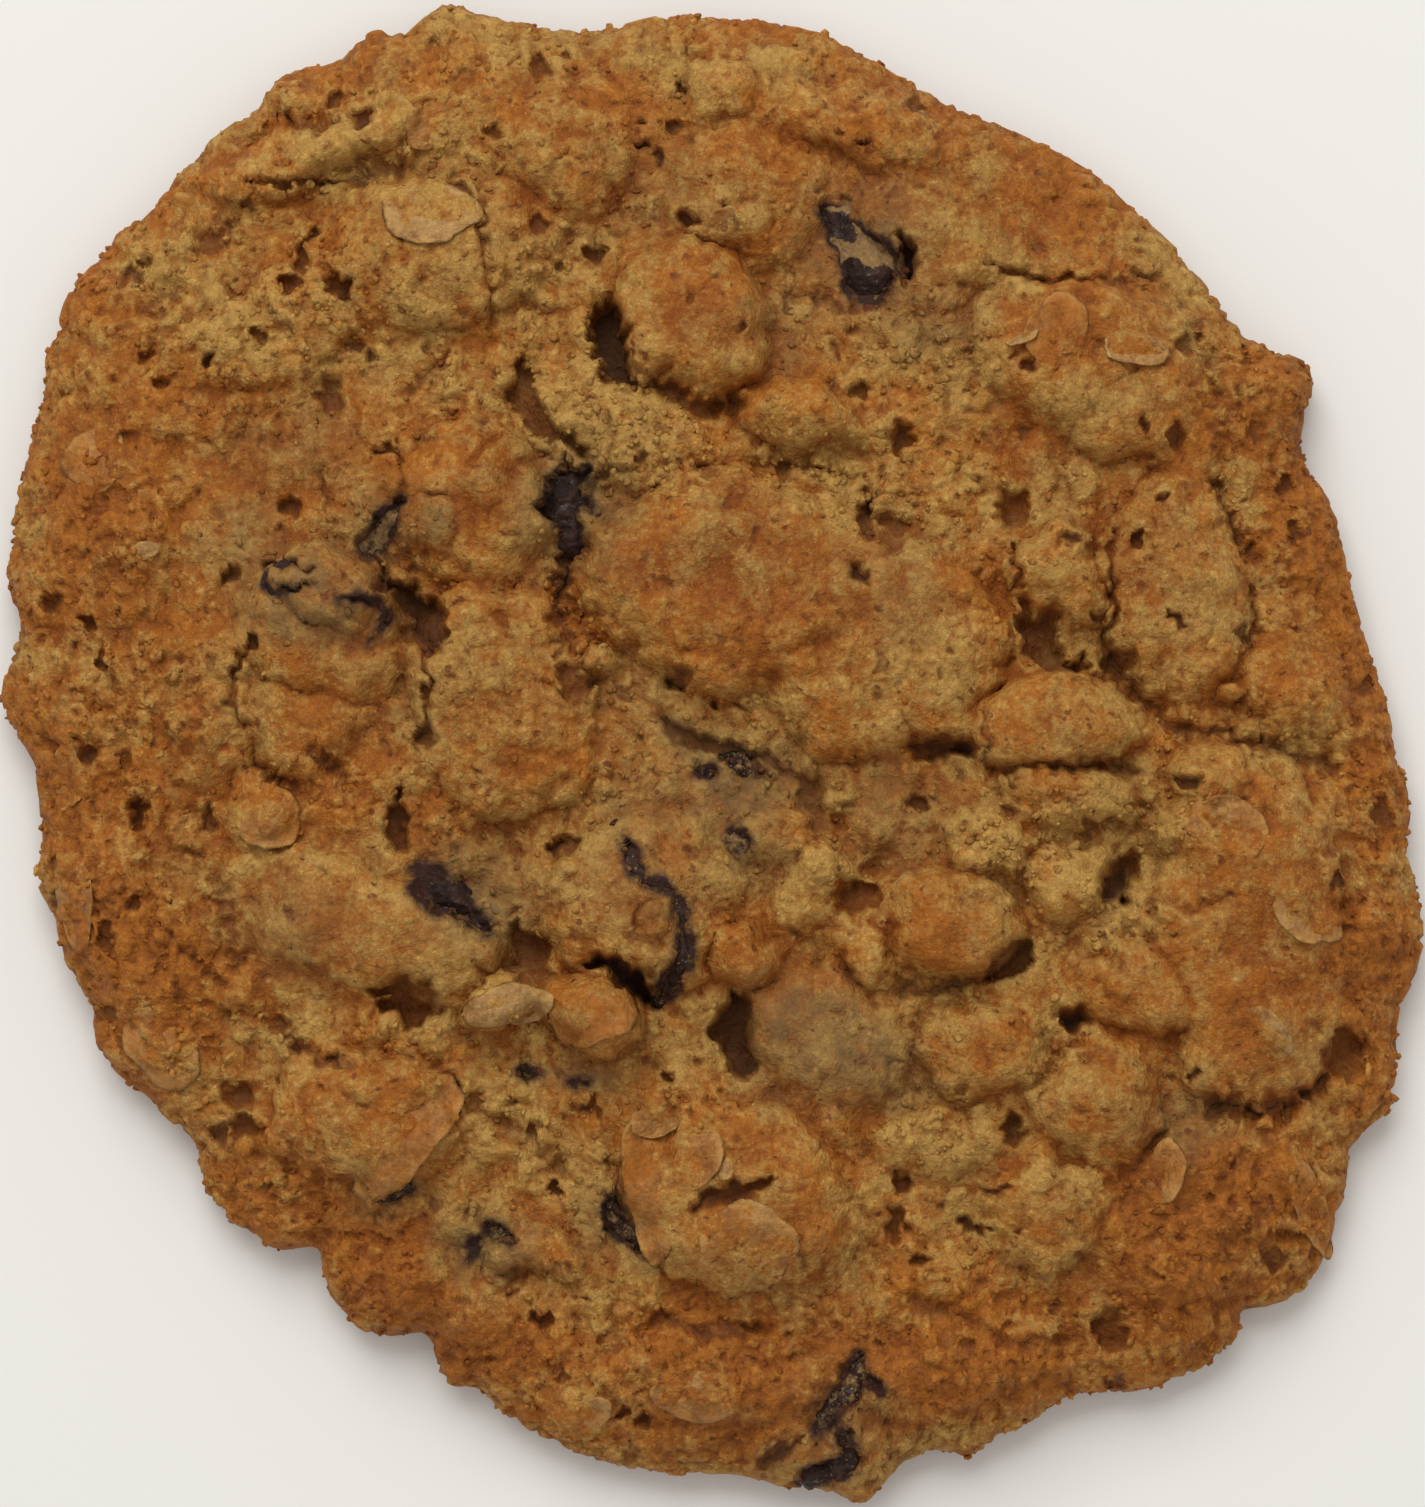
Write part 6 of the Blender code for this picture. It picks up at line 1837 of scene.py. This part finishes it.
@dataclass
class Raisins:
    """The fruit that shows in the dough's pockets."""

    relief: Relief
    finish: RaisinFinish
    sides: int = 56
    rings: int = 84
    pinch: float = 0.16
    wrinkle: float = 0.2
    wrinkle_full: float = 1.5
    step: float = 0.6
    film_bends: tuple = ((0.22, 0.9, 91, 92),)
    film_soft: float = 0.3

    def plan_points(self, raisin: Fruit) -> Array:
        """A raisin's middle line on the cookie, from where it is seen.

        Args:
            raisin: the raisin.

        Returns:
            Points in millimetres, one to a row.
        """
        ends = np.array(raisin.points, float)
        lean = self.relief.seen_up(ends[:, 0], ends[:, 1]) - ends[:, 1]
        return np.stack([ends[:, 0], ends[:, 1] - lean], axis=1)

    def marks(self, raisin: Fruit) -> Array:
        """How far along a raisin each of its points is."""
        ends = self.plan_points(raisin)
        return np.concatenate([[0.0], np.cumsum(np.hypot(*(ends[1:] - ends[:-1]).T))])

    def levels(self, raisin: Fruit) -> Array:
        """The heights of a raisin's middle line at its points.

        Args:
            raisin: the raisin.

        Returns:
            One height a point, from the dough round it.
        """
        ring = np.linspace(0.0, 2.0 * math.pi, 12, endpoint=False)
        found = []
        for end in self.plan_points(raisin):
            x = end[0] + np.outer((0.4, 1.0), np.cos(ring)).ravel() * raisin.half_wide
            y = end[1] + np.outer((0.4, 1.0), np.sin(ring)).ravel() * raisin.half_wide
            found.append(float(np.median(self.relief.survey(x, y)["height"])))
        return np.array(found) + raisin.lift - raisin.half_high

    def build(self, raisin: Fruit, seed: int) -> bpy.types.Object:
        """Makes one raisin with wrinkled skin.

        Args:
            raisin: which raisin.
            seed: which wrinkles.

        Returns:
            The raisin.
        """
        ends, marks = self.plan_points(raisin), self.marks(raisin)
        total = marks[-1]
        swing = np.linspace(-0.5 * math.pi, 0.5 * math.pi, self.rings + 2)
        along = 0.5 * total + (0.5 * total + raisin.half_wide) * np.sin(swing)
        place = np.clip(along, 0.0, total)
        middle = self.on_path(place, marks, ends)
        way = self.on_path(np.minimum(place + self.step, total), marks, ends)
        way = way - self.on_path(np.maximum(place - self.step, 0.0), marks, ends)
        way /= np.hypot(way[:, 0], way[:, 1])[:, None]
        middle = middle + way * (along - place)[:, None]
        size = np.sqrt(np.clip(1.0 - ((along - place) / raisin.half_wide) ** 2, 0.0, 1.0))
        share = np.linspace(0.0, 1.0, self.rings + 2) * 10.0
        size = size * (1.0 - self.pinch * (0.5 + 0.5 * np.sin(1.9 * share + 2.1 * seed)))
        around = np.arange(self.sides) * 2.0 * math.pi / self.sides
        side = np.outer(size, np.cos(around)) * raisin.half_wide
        lift = np.outer(size, np.sin(around)) * raisin.half_high
        level = np.interp(place, marks, self.levels(raisin))
        across = middle[:, 0, None] - way[:, 1, None] * side
        up = middle[:, 1, None] + way[:, 0, None] * side
        grid = np.stack([across, up, level[:, None] + lift], axis=2)
        points = np.concatenate([grid[0, :1], grid[1:-1].reshape(-1, 3), grid[-1, :1]])
        faces = self.tube_faces()
        normals = point_normals(points, faces)
        fold = np.abs(solid_noise(points + 7.3 * seed, 1.25, 81))
        fold = 1.0 - np.clip(fold * 2.4, 0.0, 1.0)
        small = 1.0 - np.clip(np.abs(solid_noise(points + 3.1 * seed, 0.62, 82)) * 2.4, 0.0, 1.0)
        amount = min(1.0, raisin.half_wide / self.wrinkle_full) * self.wrinkle
        points = points + normals * (amount * (fold + 0.4 * small - 0.75))[:, None]
        piece = new_object(raisin.node + "_skin", points, faces, self.relief.outline.middle())
        # Mask for the painted highlight on the wrinkle crests.
        set_mask(piece, "ridge_highlight", np.clip(0.7 * fold + 0.3 * small, 0.0, 1.0))
        set_mask(piece, "coat", self.film(raisin, points))
        return piece

    def film(self, raisin: Fruit, points: Array) -> Array:
        """How much dough film is on a raisin.

        Args:
            raisin: which raisin.
            points: its points.

        Returns:
            From 0 to 1 at each point.
        """
        x, y = points[:, 0], self.relief.seen_up(points[:, 0], points[:, 1])
        wx, wy = bent(x, y, self.film_bends)
        total = np.full(len(points), raisin.coat)
        for chain in raisin.bare:
            total *= np.clip(0.5 + bead_distance(wx, wy, chain) / self.film_soft, 0.0, 1.0)
        return total

    @staticmethod
    def on_path(place: Array, marks: Array, ends: Array) -> Array:
        """Points at distances along a run of points."""
        return np.stack([np.interp(place, marks, ends[:, axis]) for axis in (0, 1)], axis=1)

    def tube_faces(self) -> Array:
        """Triangles over a closed tube of rings with a point at each end.

        Returns:
            Rows of three point numbers.
        """
        side = np.arange(self.sides)
        ahead = (side + 1) % self.sides
        last = 1 + self.sides * self.rings
        rows = [np.stack([np.zeros_like(side), 1 + ahead, 1 + side], axis=1)]
        for ring in range(self.rings - 1):
            here = 1 + ring * self.sides
            there = here + self.sides
            rows.append(np.stack([here + side, here + ahead, there + side], axis=1))
            rows.append(np.stack([here + ahead, there + ahead, there + side], axis=1))
        here = last - self.sides
        rows.append(np.stack([here + side, here + ahead, np.full_like(side, last)], axis=1))
        return np.concatenate(rows)


@dataclass
class OatFlakes:
    """The oat flakes: thin wavy plates that lie half sunk in the dough.

    Scallops are rows of how many there are round a flake, how large they are and how
    far each flake turns them.
    """

    relief: Relief
    finish: OatFinish
    rings: int = 12
    sides: int = 44
    thick: float = 0.34
    ripple: float = 0.24
    dish: float = 0.10
    sink: float = 0.15
    streak_long: float = 2.4
    streak_wide: float = 0.22
    scallops: tuple = ((2, 0.09, 1.0), (3, 0.07, 2.3), (5, 0.04, 1.7), (11, 0.018, 0.9))
    tip_share: float = 0.8
    fold_wide: float = 0.35
    ripple_size: float = 1.6

    def plate(self, flake: Flake, seed: int) -> tuple[Array, dict[str, Array]]:
        """One flake's points and what its material reads.

        Args:
            flake: which flake.
            seed: which waves.

        Returns:
            The points, from the top's middle over the rim to the underside's, and masks.
        """
        swing = np.arange(self.sides) * 2.0 * math.pi / self.sides
        edge = np.ones(self.sides)
        for number, size, shift in self.scallops:
            edge += size * np.sin(number * swing + shift * seed)
        share = np.arange(1, self.rings + 1) / self.rings
        share = np.concatenate([share, share[-2::-1]])
        reach = np.concatenate([[0.0], np.repeat(share, self.sides), [0.0]])
        u, v = (
            np.concatenate([[0.0], np.outer(share, edge * part).ravel(), [0.0]]) * half
            for part, half in ((np.cos(swing), flake.half_long), (np.sin(swing), flake.half_wide))
        )
        turn = math.radians(flake.degrees)
        x = flake.x + u * math.cos(turn) - v * math.sin(turn)
        y = flake.y + u * math.sin(turn) + v * math.cos(turn)
        lean = self.relief.seen_up(np.array([flake.x]), np.array([flake.y]))[0] - flake.y
        towards = math.radians(flake.side)
        rise = (x - flake.x) * math.cos(towards) + (y - flake.y) * math.sin(towards)
        rise = np.clip(rise / flake.half_wide, -1.0, 1.2)
        level = self.relief.calm(x, y - lean) + flake.lift - self.sink
        level += self.tip_share * flake.tip * rise + self.dish * reach**3
        level -= flake.crease * np.exp(-((v / self.fold_wide) ** 2)) * (1.0 - reach**4)
        wave = lattice_noise(x, y, self.ripple_size, 101 + seed)
        level += self.ripple * wave * (0.4 + reach)
        under = np.arange(len(x)) > self.sides * self.rings
        thick = self.thick * np.sqrt(np.clip(1.0 - reach**2, 0.0, 1.0))
        level -= np.where(under, thick, 0.0)
        masks = {
            "along": u / self.streak_long, "across": v / self.streak_wide,
            "whose": np.full_like(u, 3.0 * seed), "toasted": np.full_like(u, flake.colour),
            # How far out on the flake a point is, for the painted rim highlight.
            "edge": reach**5,
        }
        return np.stack([x, y - lean, level], axis=1), masks

    def build(self) -> bpy.types.Object:
        """Makes all the flakes as one mesh.

        Returns:
            The flakes.
        """
        plates = [self.plate(flake, seed) for seed, flake in enumerate(FLAKES)]
        sides = self.sides
        one, start = [stitch(0, 1, 1, sides)], 1
        for _ in range(2 * self.rings - 2):
            one.append(stitch(start, sides, start + sides, sides))
            start += sides
        end = start + sides
        one.append(stitch(end, 1, start, sides)[:, ::-1])
        faces = np.concatenate(one)
        count = end + 1
        points = np.concatenate([points for points, _ in plates])
        every = np.concatenate([faces + k * count for k in range(len(plates))])
        piece = new_object("oat_flakes", points, every, self.relief.outline.middle())
        for name in plates[0][1]:
            set_mask(piece, name, np.concatenate([masks[name] for _, masks in plates]))
        return piece


@dataclass
class Crumbs:
    """Granules that stick to the torn and crumbly places."""

    smallest: float = 0.35
    largest: float = 0.75
    per_square: float = 2.2
    seed: int = 7
    dent: float = 0.26
    dent_size: float = 0.4
    least_shape: tuple = (0.6, 0.6, 0.5)
    most_shape: tuple = (1.5, 1.1, 0.8)

    def picked(self, tree: Tree, kind: str, low, high, draw: int):
        """A value of its own for each granule.

        Args:
            tree: the tree to add to.
            kind: FLOAT or FLOAT_VECTOR.
            low: the least value.
            high: the greatest.
            draw: which draw it is.

        Returns:
            The output socket.
        """
        first = 0 if kind == "FLOAT_VECTOR" else 2
        made = tree.node(
            "FunctionNodeRandomValue", {"data_type": kind},
            {first: low, first + 1: high, "Seed": self.seed + draw},
        )
        return made.outputs[first // 2]

    def tree(self) -> bpy.types.GeometryNodeTree:
        """Builds the scatter, whose inputs are its sizes, its crowding and its material.

        Returns:
            The geometry node tree.
        """
        made = bpy.data.node_groups.new("granules", "GeometryNodeTree")
        made.is_modifier = True
        sockets = (
            ("Crust", "Geometry"), ("Smallest", "Float"), ("Largest", "Float"),
            ("Crowding", "Float"), ("Dent", "Float"), ("Finish", "Material"),
        )
        for name, kind in sockets:
            made.interface.new_socket(name, in_out="INPUT", socket_type="NodeSocket" + kind)
        made.interface.new_socket("Granules", in_out="OUTPUT", socket_type="NodeSocketGeometry")
        tree = Tree(made)
        start, end = tree.node("NodeGroupInput"), tree.node("NodeGroupOutput")
        given = start.outputs
        where = tree.node(
            "GeometryNodeInputNamedAttribute", {"data_type": "FLOAT"}, {"Name": "loose"}
        )
        crowd = tree.math("MULTIPLY", where.outputs["Attribute"], given["Crowding"])
        points = tree.node(
            "GeometryNodeDistributePointsOnFaces", {"distribute_method": "RANDOM"},
            {"Mesh": given["Crust"], "Density": crowd, "Seed": self.seed},
        )
        ball = tree.node("GeometryNodeMeshIcoSphere", {}, {"Radius": 1.0, "Subdivisions": 1})
        speck = self.picked(tree, "FLOAT", -0.5, 0.5, 4)
        toned = tree.node(
            "GeometryNodeStoreNamedAttribute", {"data_type": "FLOAT", "domain": "POINT"},
            {"Geometry": points.outputs["Points"], "Name": "grain_tone", "Value": speck},
        )
        size = self.picked(tree, "FLOAT", given["Smallest"], given["Largest"], 1)
        turn = self.picked(tree, "FLOAT_VECTOR", (0.0, 0.0, 0.0), (6.28, 6.28, 6.28), 2)
        shape = self.picked(tree, "FLOAT_VECTOR", self.least_shape, self.most_shape, 3)
        sized = tree.node(
            "ShaderNodeVectorMath", {"operation": "SCALE"}, {0: shape, "Scale": size}
        )
        placed = tree.node(
            "GeometryNodeInstanceOnPoints", {},
            {"Points": toned.outputs[0], "Instance": ball.outputs["Mesh"],
             "Rotation": turn, "Scale": sized.outputs[0]},
        )
        whole = tree.node("GeometryNodeRealizeInstances", {}, {"Geometry": placed.outputs[0]})
        fineness = {"Scale": 1.0 / (self.dent_size * MM), "Detail": 1.0}
        bumps = tree.node("ShaderNodeTexNoise", {}, fineness)
        centred = tree.node(
            "ShaderNodeVectorMath", {"operation": "SUBTRACT"},
            {0: bumps.outputs["Color"], 1: (0.5, 0.5, 0.5)},
        )
        push = tree.node(
            "ShaderNodeVectorMath", {"operation": "SCALE"},
            {0: centred.outputs[0], "Scale": given["Dent"]},
        )
        moved = tree.node(
            "GeometryNodeSetPosition", {},
            {"Geometry": whole.outputs[0], "Offset": push.outputs[0]},
        )
        smooth = tree.node("GeometryNodeSetShadeSmooth", {}, {"Geometry": moved.outputs[0]})
        dressed = tree.node(
            "GeometryNodeSetMaterial", {},
            {"Geometry": smooth.outputs[0], "Material": given["Finish"]},
        )
        tree.join(dressed.outputs[0], end, "Granules")
        return made

    def build(self, dough: bpy.types.Object, finish: bpy.types.Material) -> bpy.types.Object:
        """Scatters the granules.

        Args:
            dough: the dough, whose mask named loose says where they are.
            finish: the dough's material, whose masks they take along.

        Returns:
            The granules as one mesh.
        """
        made = bpy.data.objects.new("granules", dough.data.copy())
        bpy.context.scene.collection.objects.link(made)
        scatter = made.modifiers.new("scatter", "NODES")
        scatter.node_group = self.tree()
        values = {
            "Smallest": 0.5 * self.smallest * MM, "Largest": 0.5 * self.largest * MM,
            "Crowding": self.per_square / MM**2, "Dent": self.dent * MM, "Finish": finish,
        }
        for item in scatter.node_group.interface.items_tree:
            if item.in_out == "INPUT" and item.name in values:
                scatter[item.identifier] = values[item.name]
        applied(made)
        return made


# ---------------------------------------------------------------- the studio

@dataclass
class Studio:
    """A pale floor, soft light from the top of the picture, and the camera."""

    image_wide: int = 1425
    image_high: int = 1507
    lens: float = 180.0
    sensor: float = 36.0
    clip_start: float = 0.01
    first_distance: float = 0.5
    framing_rounds: int = 12
    margin: float = 0.001
    elevation: float = 88.0
    floor_half: float = 1.2
    floor_gap: float = 0.02
    key_place: tuple = (-0.16, 0.66, 0.84)
    key_size: float = 0.80
    key_power: float = 7.65
    key_colour: tuple = (1.0, 0.99, 0.95)
    sky_colour: tuple = (1.0, 0.97, 0.93, 1.0)
    sky_strength: float = 0.56

    def floor(self) -> bpy.types.Object:
        """Lays the floor.

        Returns:
            The floor.
        """
        half, low = self.floor_half, -self.floor_gap * MM
        mesh = bpy.data.meshes.new("floor")
        corners = [(-half, -half, low), (half, -half, low), (half, half, low), (-half, half, low)]
        mesh.from_pydata(corners, [], [(0, 1, 2, 3)])
        made = bpy.data.objects.new("floor", mesh)
        mesh.materials.append(FloorFinish().material())
        bpy.context.scene.collection.objects.link(made)
        return made

    def light(self, name: str, place: tuple, size: float, power: float, colour: tuple) -> None:
        """Hangs a square soft light that looks at the cookie.

        Args:
            name: the light's name.
            place: where it hangs, in metres.
            size: its side in metres.
            power: its power in watts.
            colour: its colour.
        """
        lamp = bpy.data.lights.new(name, "AREA")
        lamp.shape = "SQUARE"
        lamp.size = size
        lamp.energy = power
        lamp.color = colour
        made = bpy.data.objects.new(name, lamp)
        made.location = place
        made.rotation_euler = (-made.location).to_track_quat("-Z", "Y").to_euler()
        bpy.context.scene.collection.objects.link(made)

    def lights(self) -> None:
        """Sets the soft key and the sky."""
        self.light("key", self.key_place, self.key_size, self.key_power, self.key_colour)
        world = bpy.data.worlds.new("studio")
        world.use_nodes = True
        sky = world.node_tree.nodes["Background"]
        sky.inputs["Color"].default_value = self.sky_colour
        sky.inputs["Strength"].default_value = self.sky_strength
        bpy.context.scene.world = world
        bpy.context.scene.view_settings.view_transform = "Standard"

    def camera(self, pieces: Sequence[bpy.types.Object]) -> None:
        """Places the camera so that the pieces fill the picture.

        Args:
            pieces: what the picture shows from edge to edge.
        """
        tilt = math.radians(self.elevation)
        points = np.concatenate([mesh_points(piece, np.zeros(3)) for piece in pieces]) * MM
        up = np.array([0.0, math.sin(tilt), math.cos(tilt)])
        back = np.array([0.0, -math.cos(tilt), math.sin(tilt)])
        target, distance = np.zeros(3), self.first_distance
        half_high = 0.5 * self.sensor / self.lens
        half_wide = half_high * self.image_wide / self.image_high
        for _ in range(self.framing_rounds):
            away = points - (target + back * distance)
            depth = -(away @ back)
            across, rise = away[:, 0] / depth, (away @ up) / depth
            target[0] += 0.5 * (across.max() + across.min()) * distance
            target = target + up * 0.5 * (rise.max() + rise.min()) * distance
            need = max(np.ptp(across) / (2.0 * half_wide), np.ptp(rise) / (2.0 * half_high))
            distance *= need * (1.0 + 2.0 * self.margin)
        lens = bpy.data.cameras.new("camera")
        lens.lens = self.lens
        lens.sensor_width = self.sensor
        lens.clip_start = self.clip_start
        made = bpy.data.objects.new("camera", lens)
        made.location = target + back * distance
        made.rotation_euler = (0.5 * math.pi - tilt, 0.0, 0.0)
        bpy.context.scene.collection.objects.link(made)
        bpy.context.scene.camera = made


def main() -> None:
    """Builds the cookie, dresses it and sets the studio."""
    logging.basicConfig(level=logging.INFO, format="%(name)s: %(message)s")
    relief = Relief(Outline())
    crumb = crumb_group()
    fruit = Raisins(relief, RaisinFinish())
    dough = Dough(relief, DoughFinish())
    studio = Studio()
    studio.floor()

    body = dough.build(fruit)
    body.data.materials.clear()
    body.data.materials.append(dough.finish.material(crumb))
    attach(body, "root")
    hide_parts("dough")
    log.info("dough: %d triangles", len(body.data.polygons))

    granules = Crumbs().build(body, body.data.materials[0])
    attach(granules, "root")
    log.info("granules: %d triangles", len(granules.data.polygons))

    oats = OatFlakes(relief, OatFinish())
    flakes = oats.build()
    flakes.data.materials.append(oats.finish.material(crumb))
    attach(flakes, "root")
    log.info("oat flakes: %d triangles", len(flakes.data.polygons))

    skin = fruit.finish.material(crumb)
    for seed, raisin in enumerate(RAISINS):
        piece = fruit.build(raisin, seed)
        piece.data.materials.append(skin)
        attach(piece, "root")
        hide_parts(raisin.node)
        log.info("%s: %d triangles", raisin.node, len(piece.data.polygons))

    studio.lights()
    studio.camera([body])


if __name__ == "__main__":
    main()
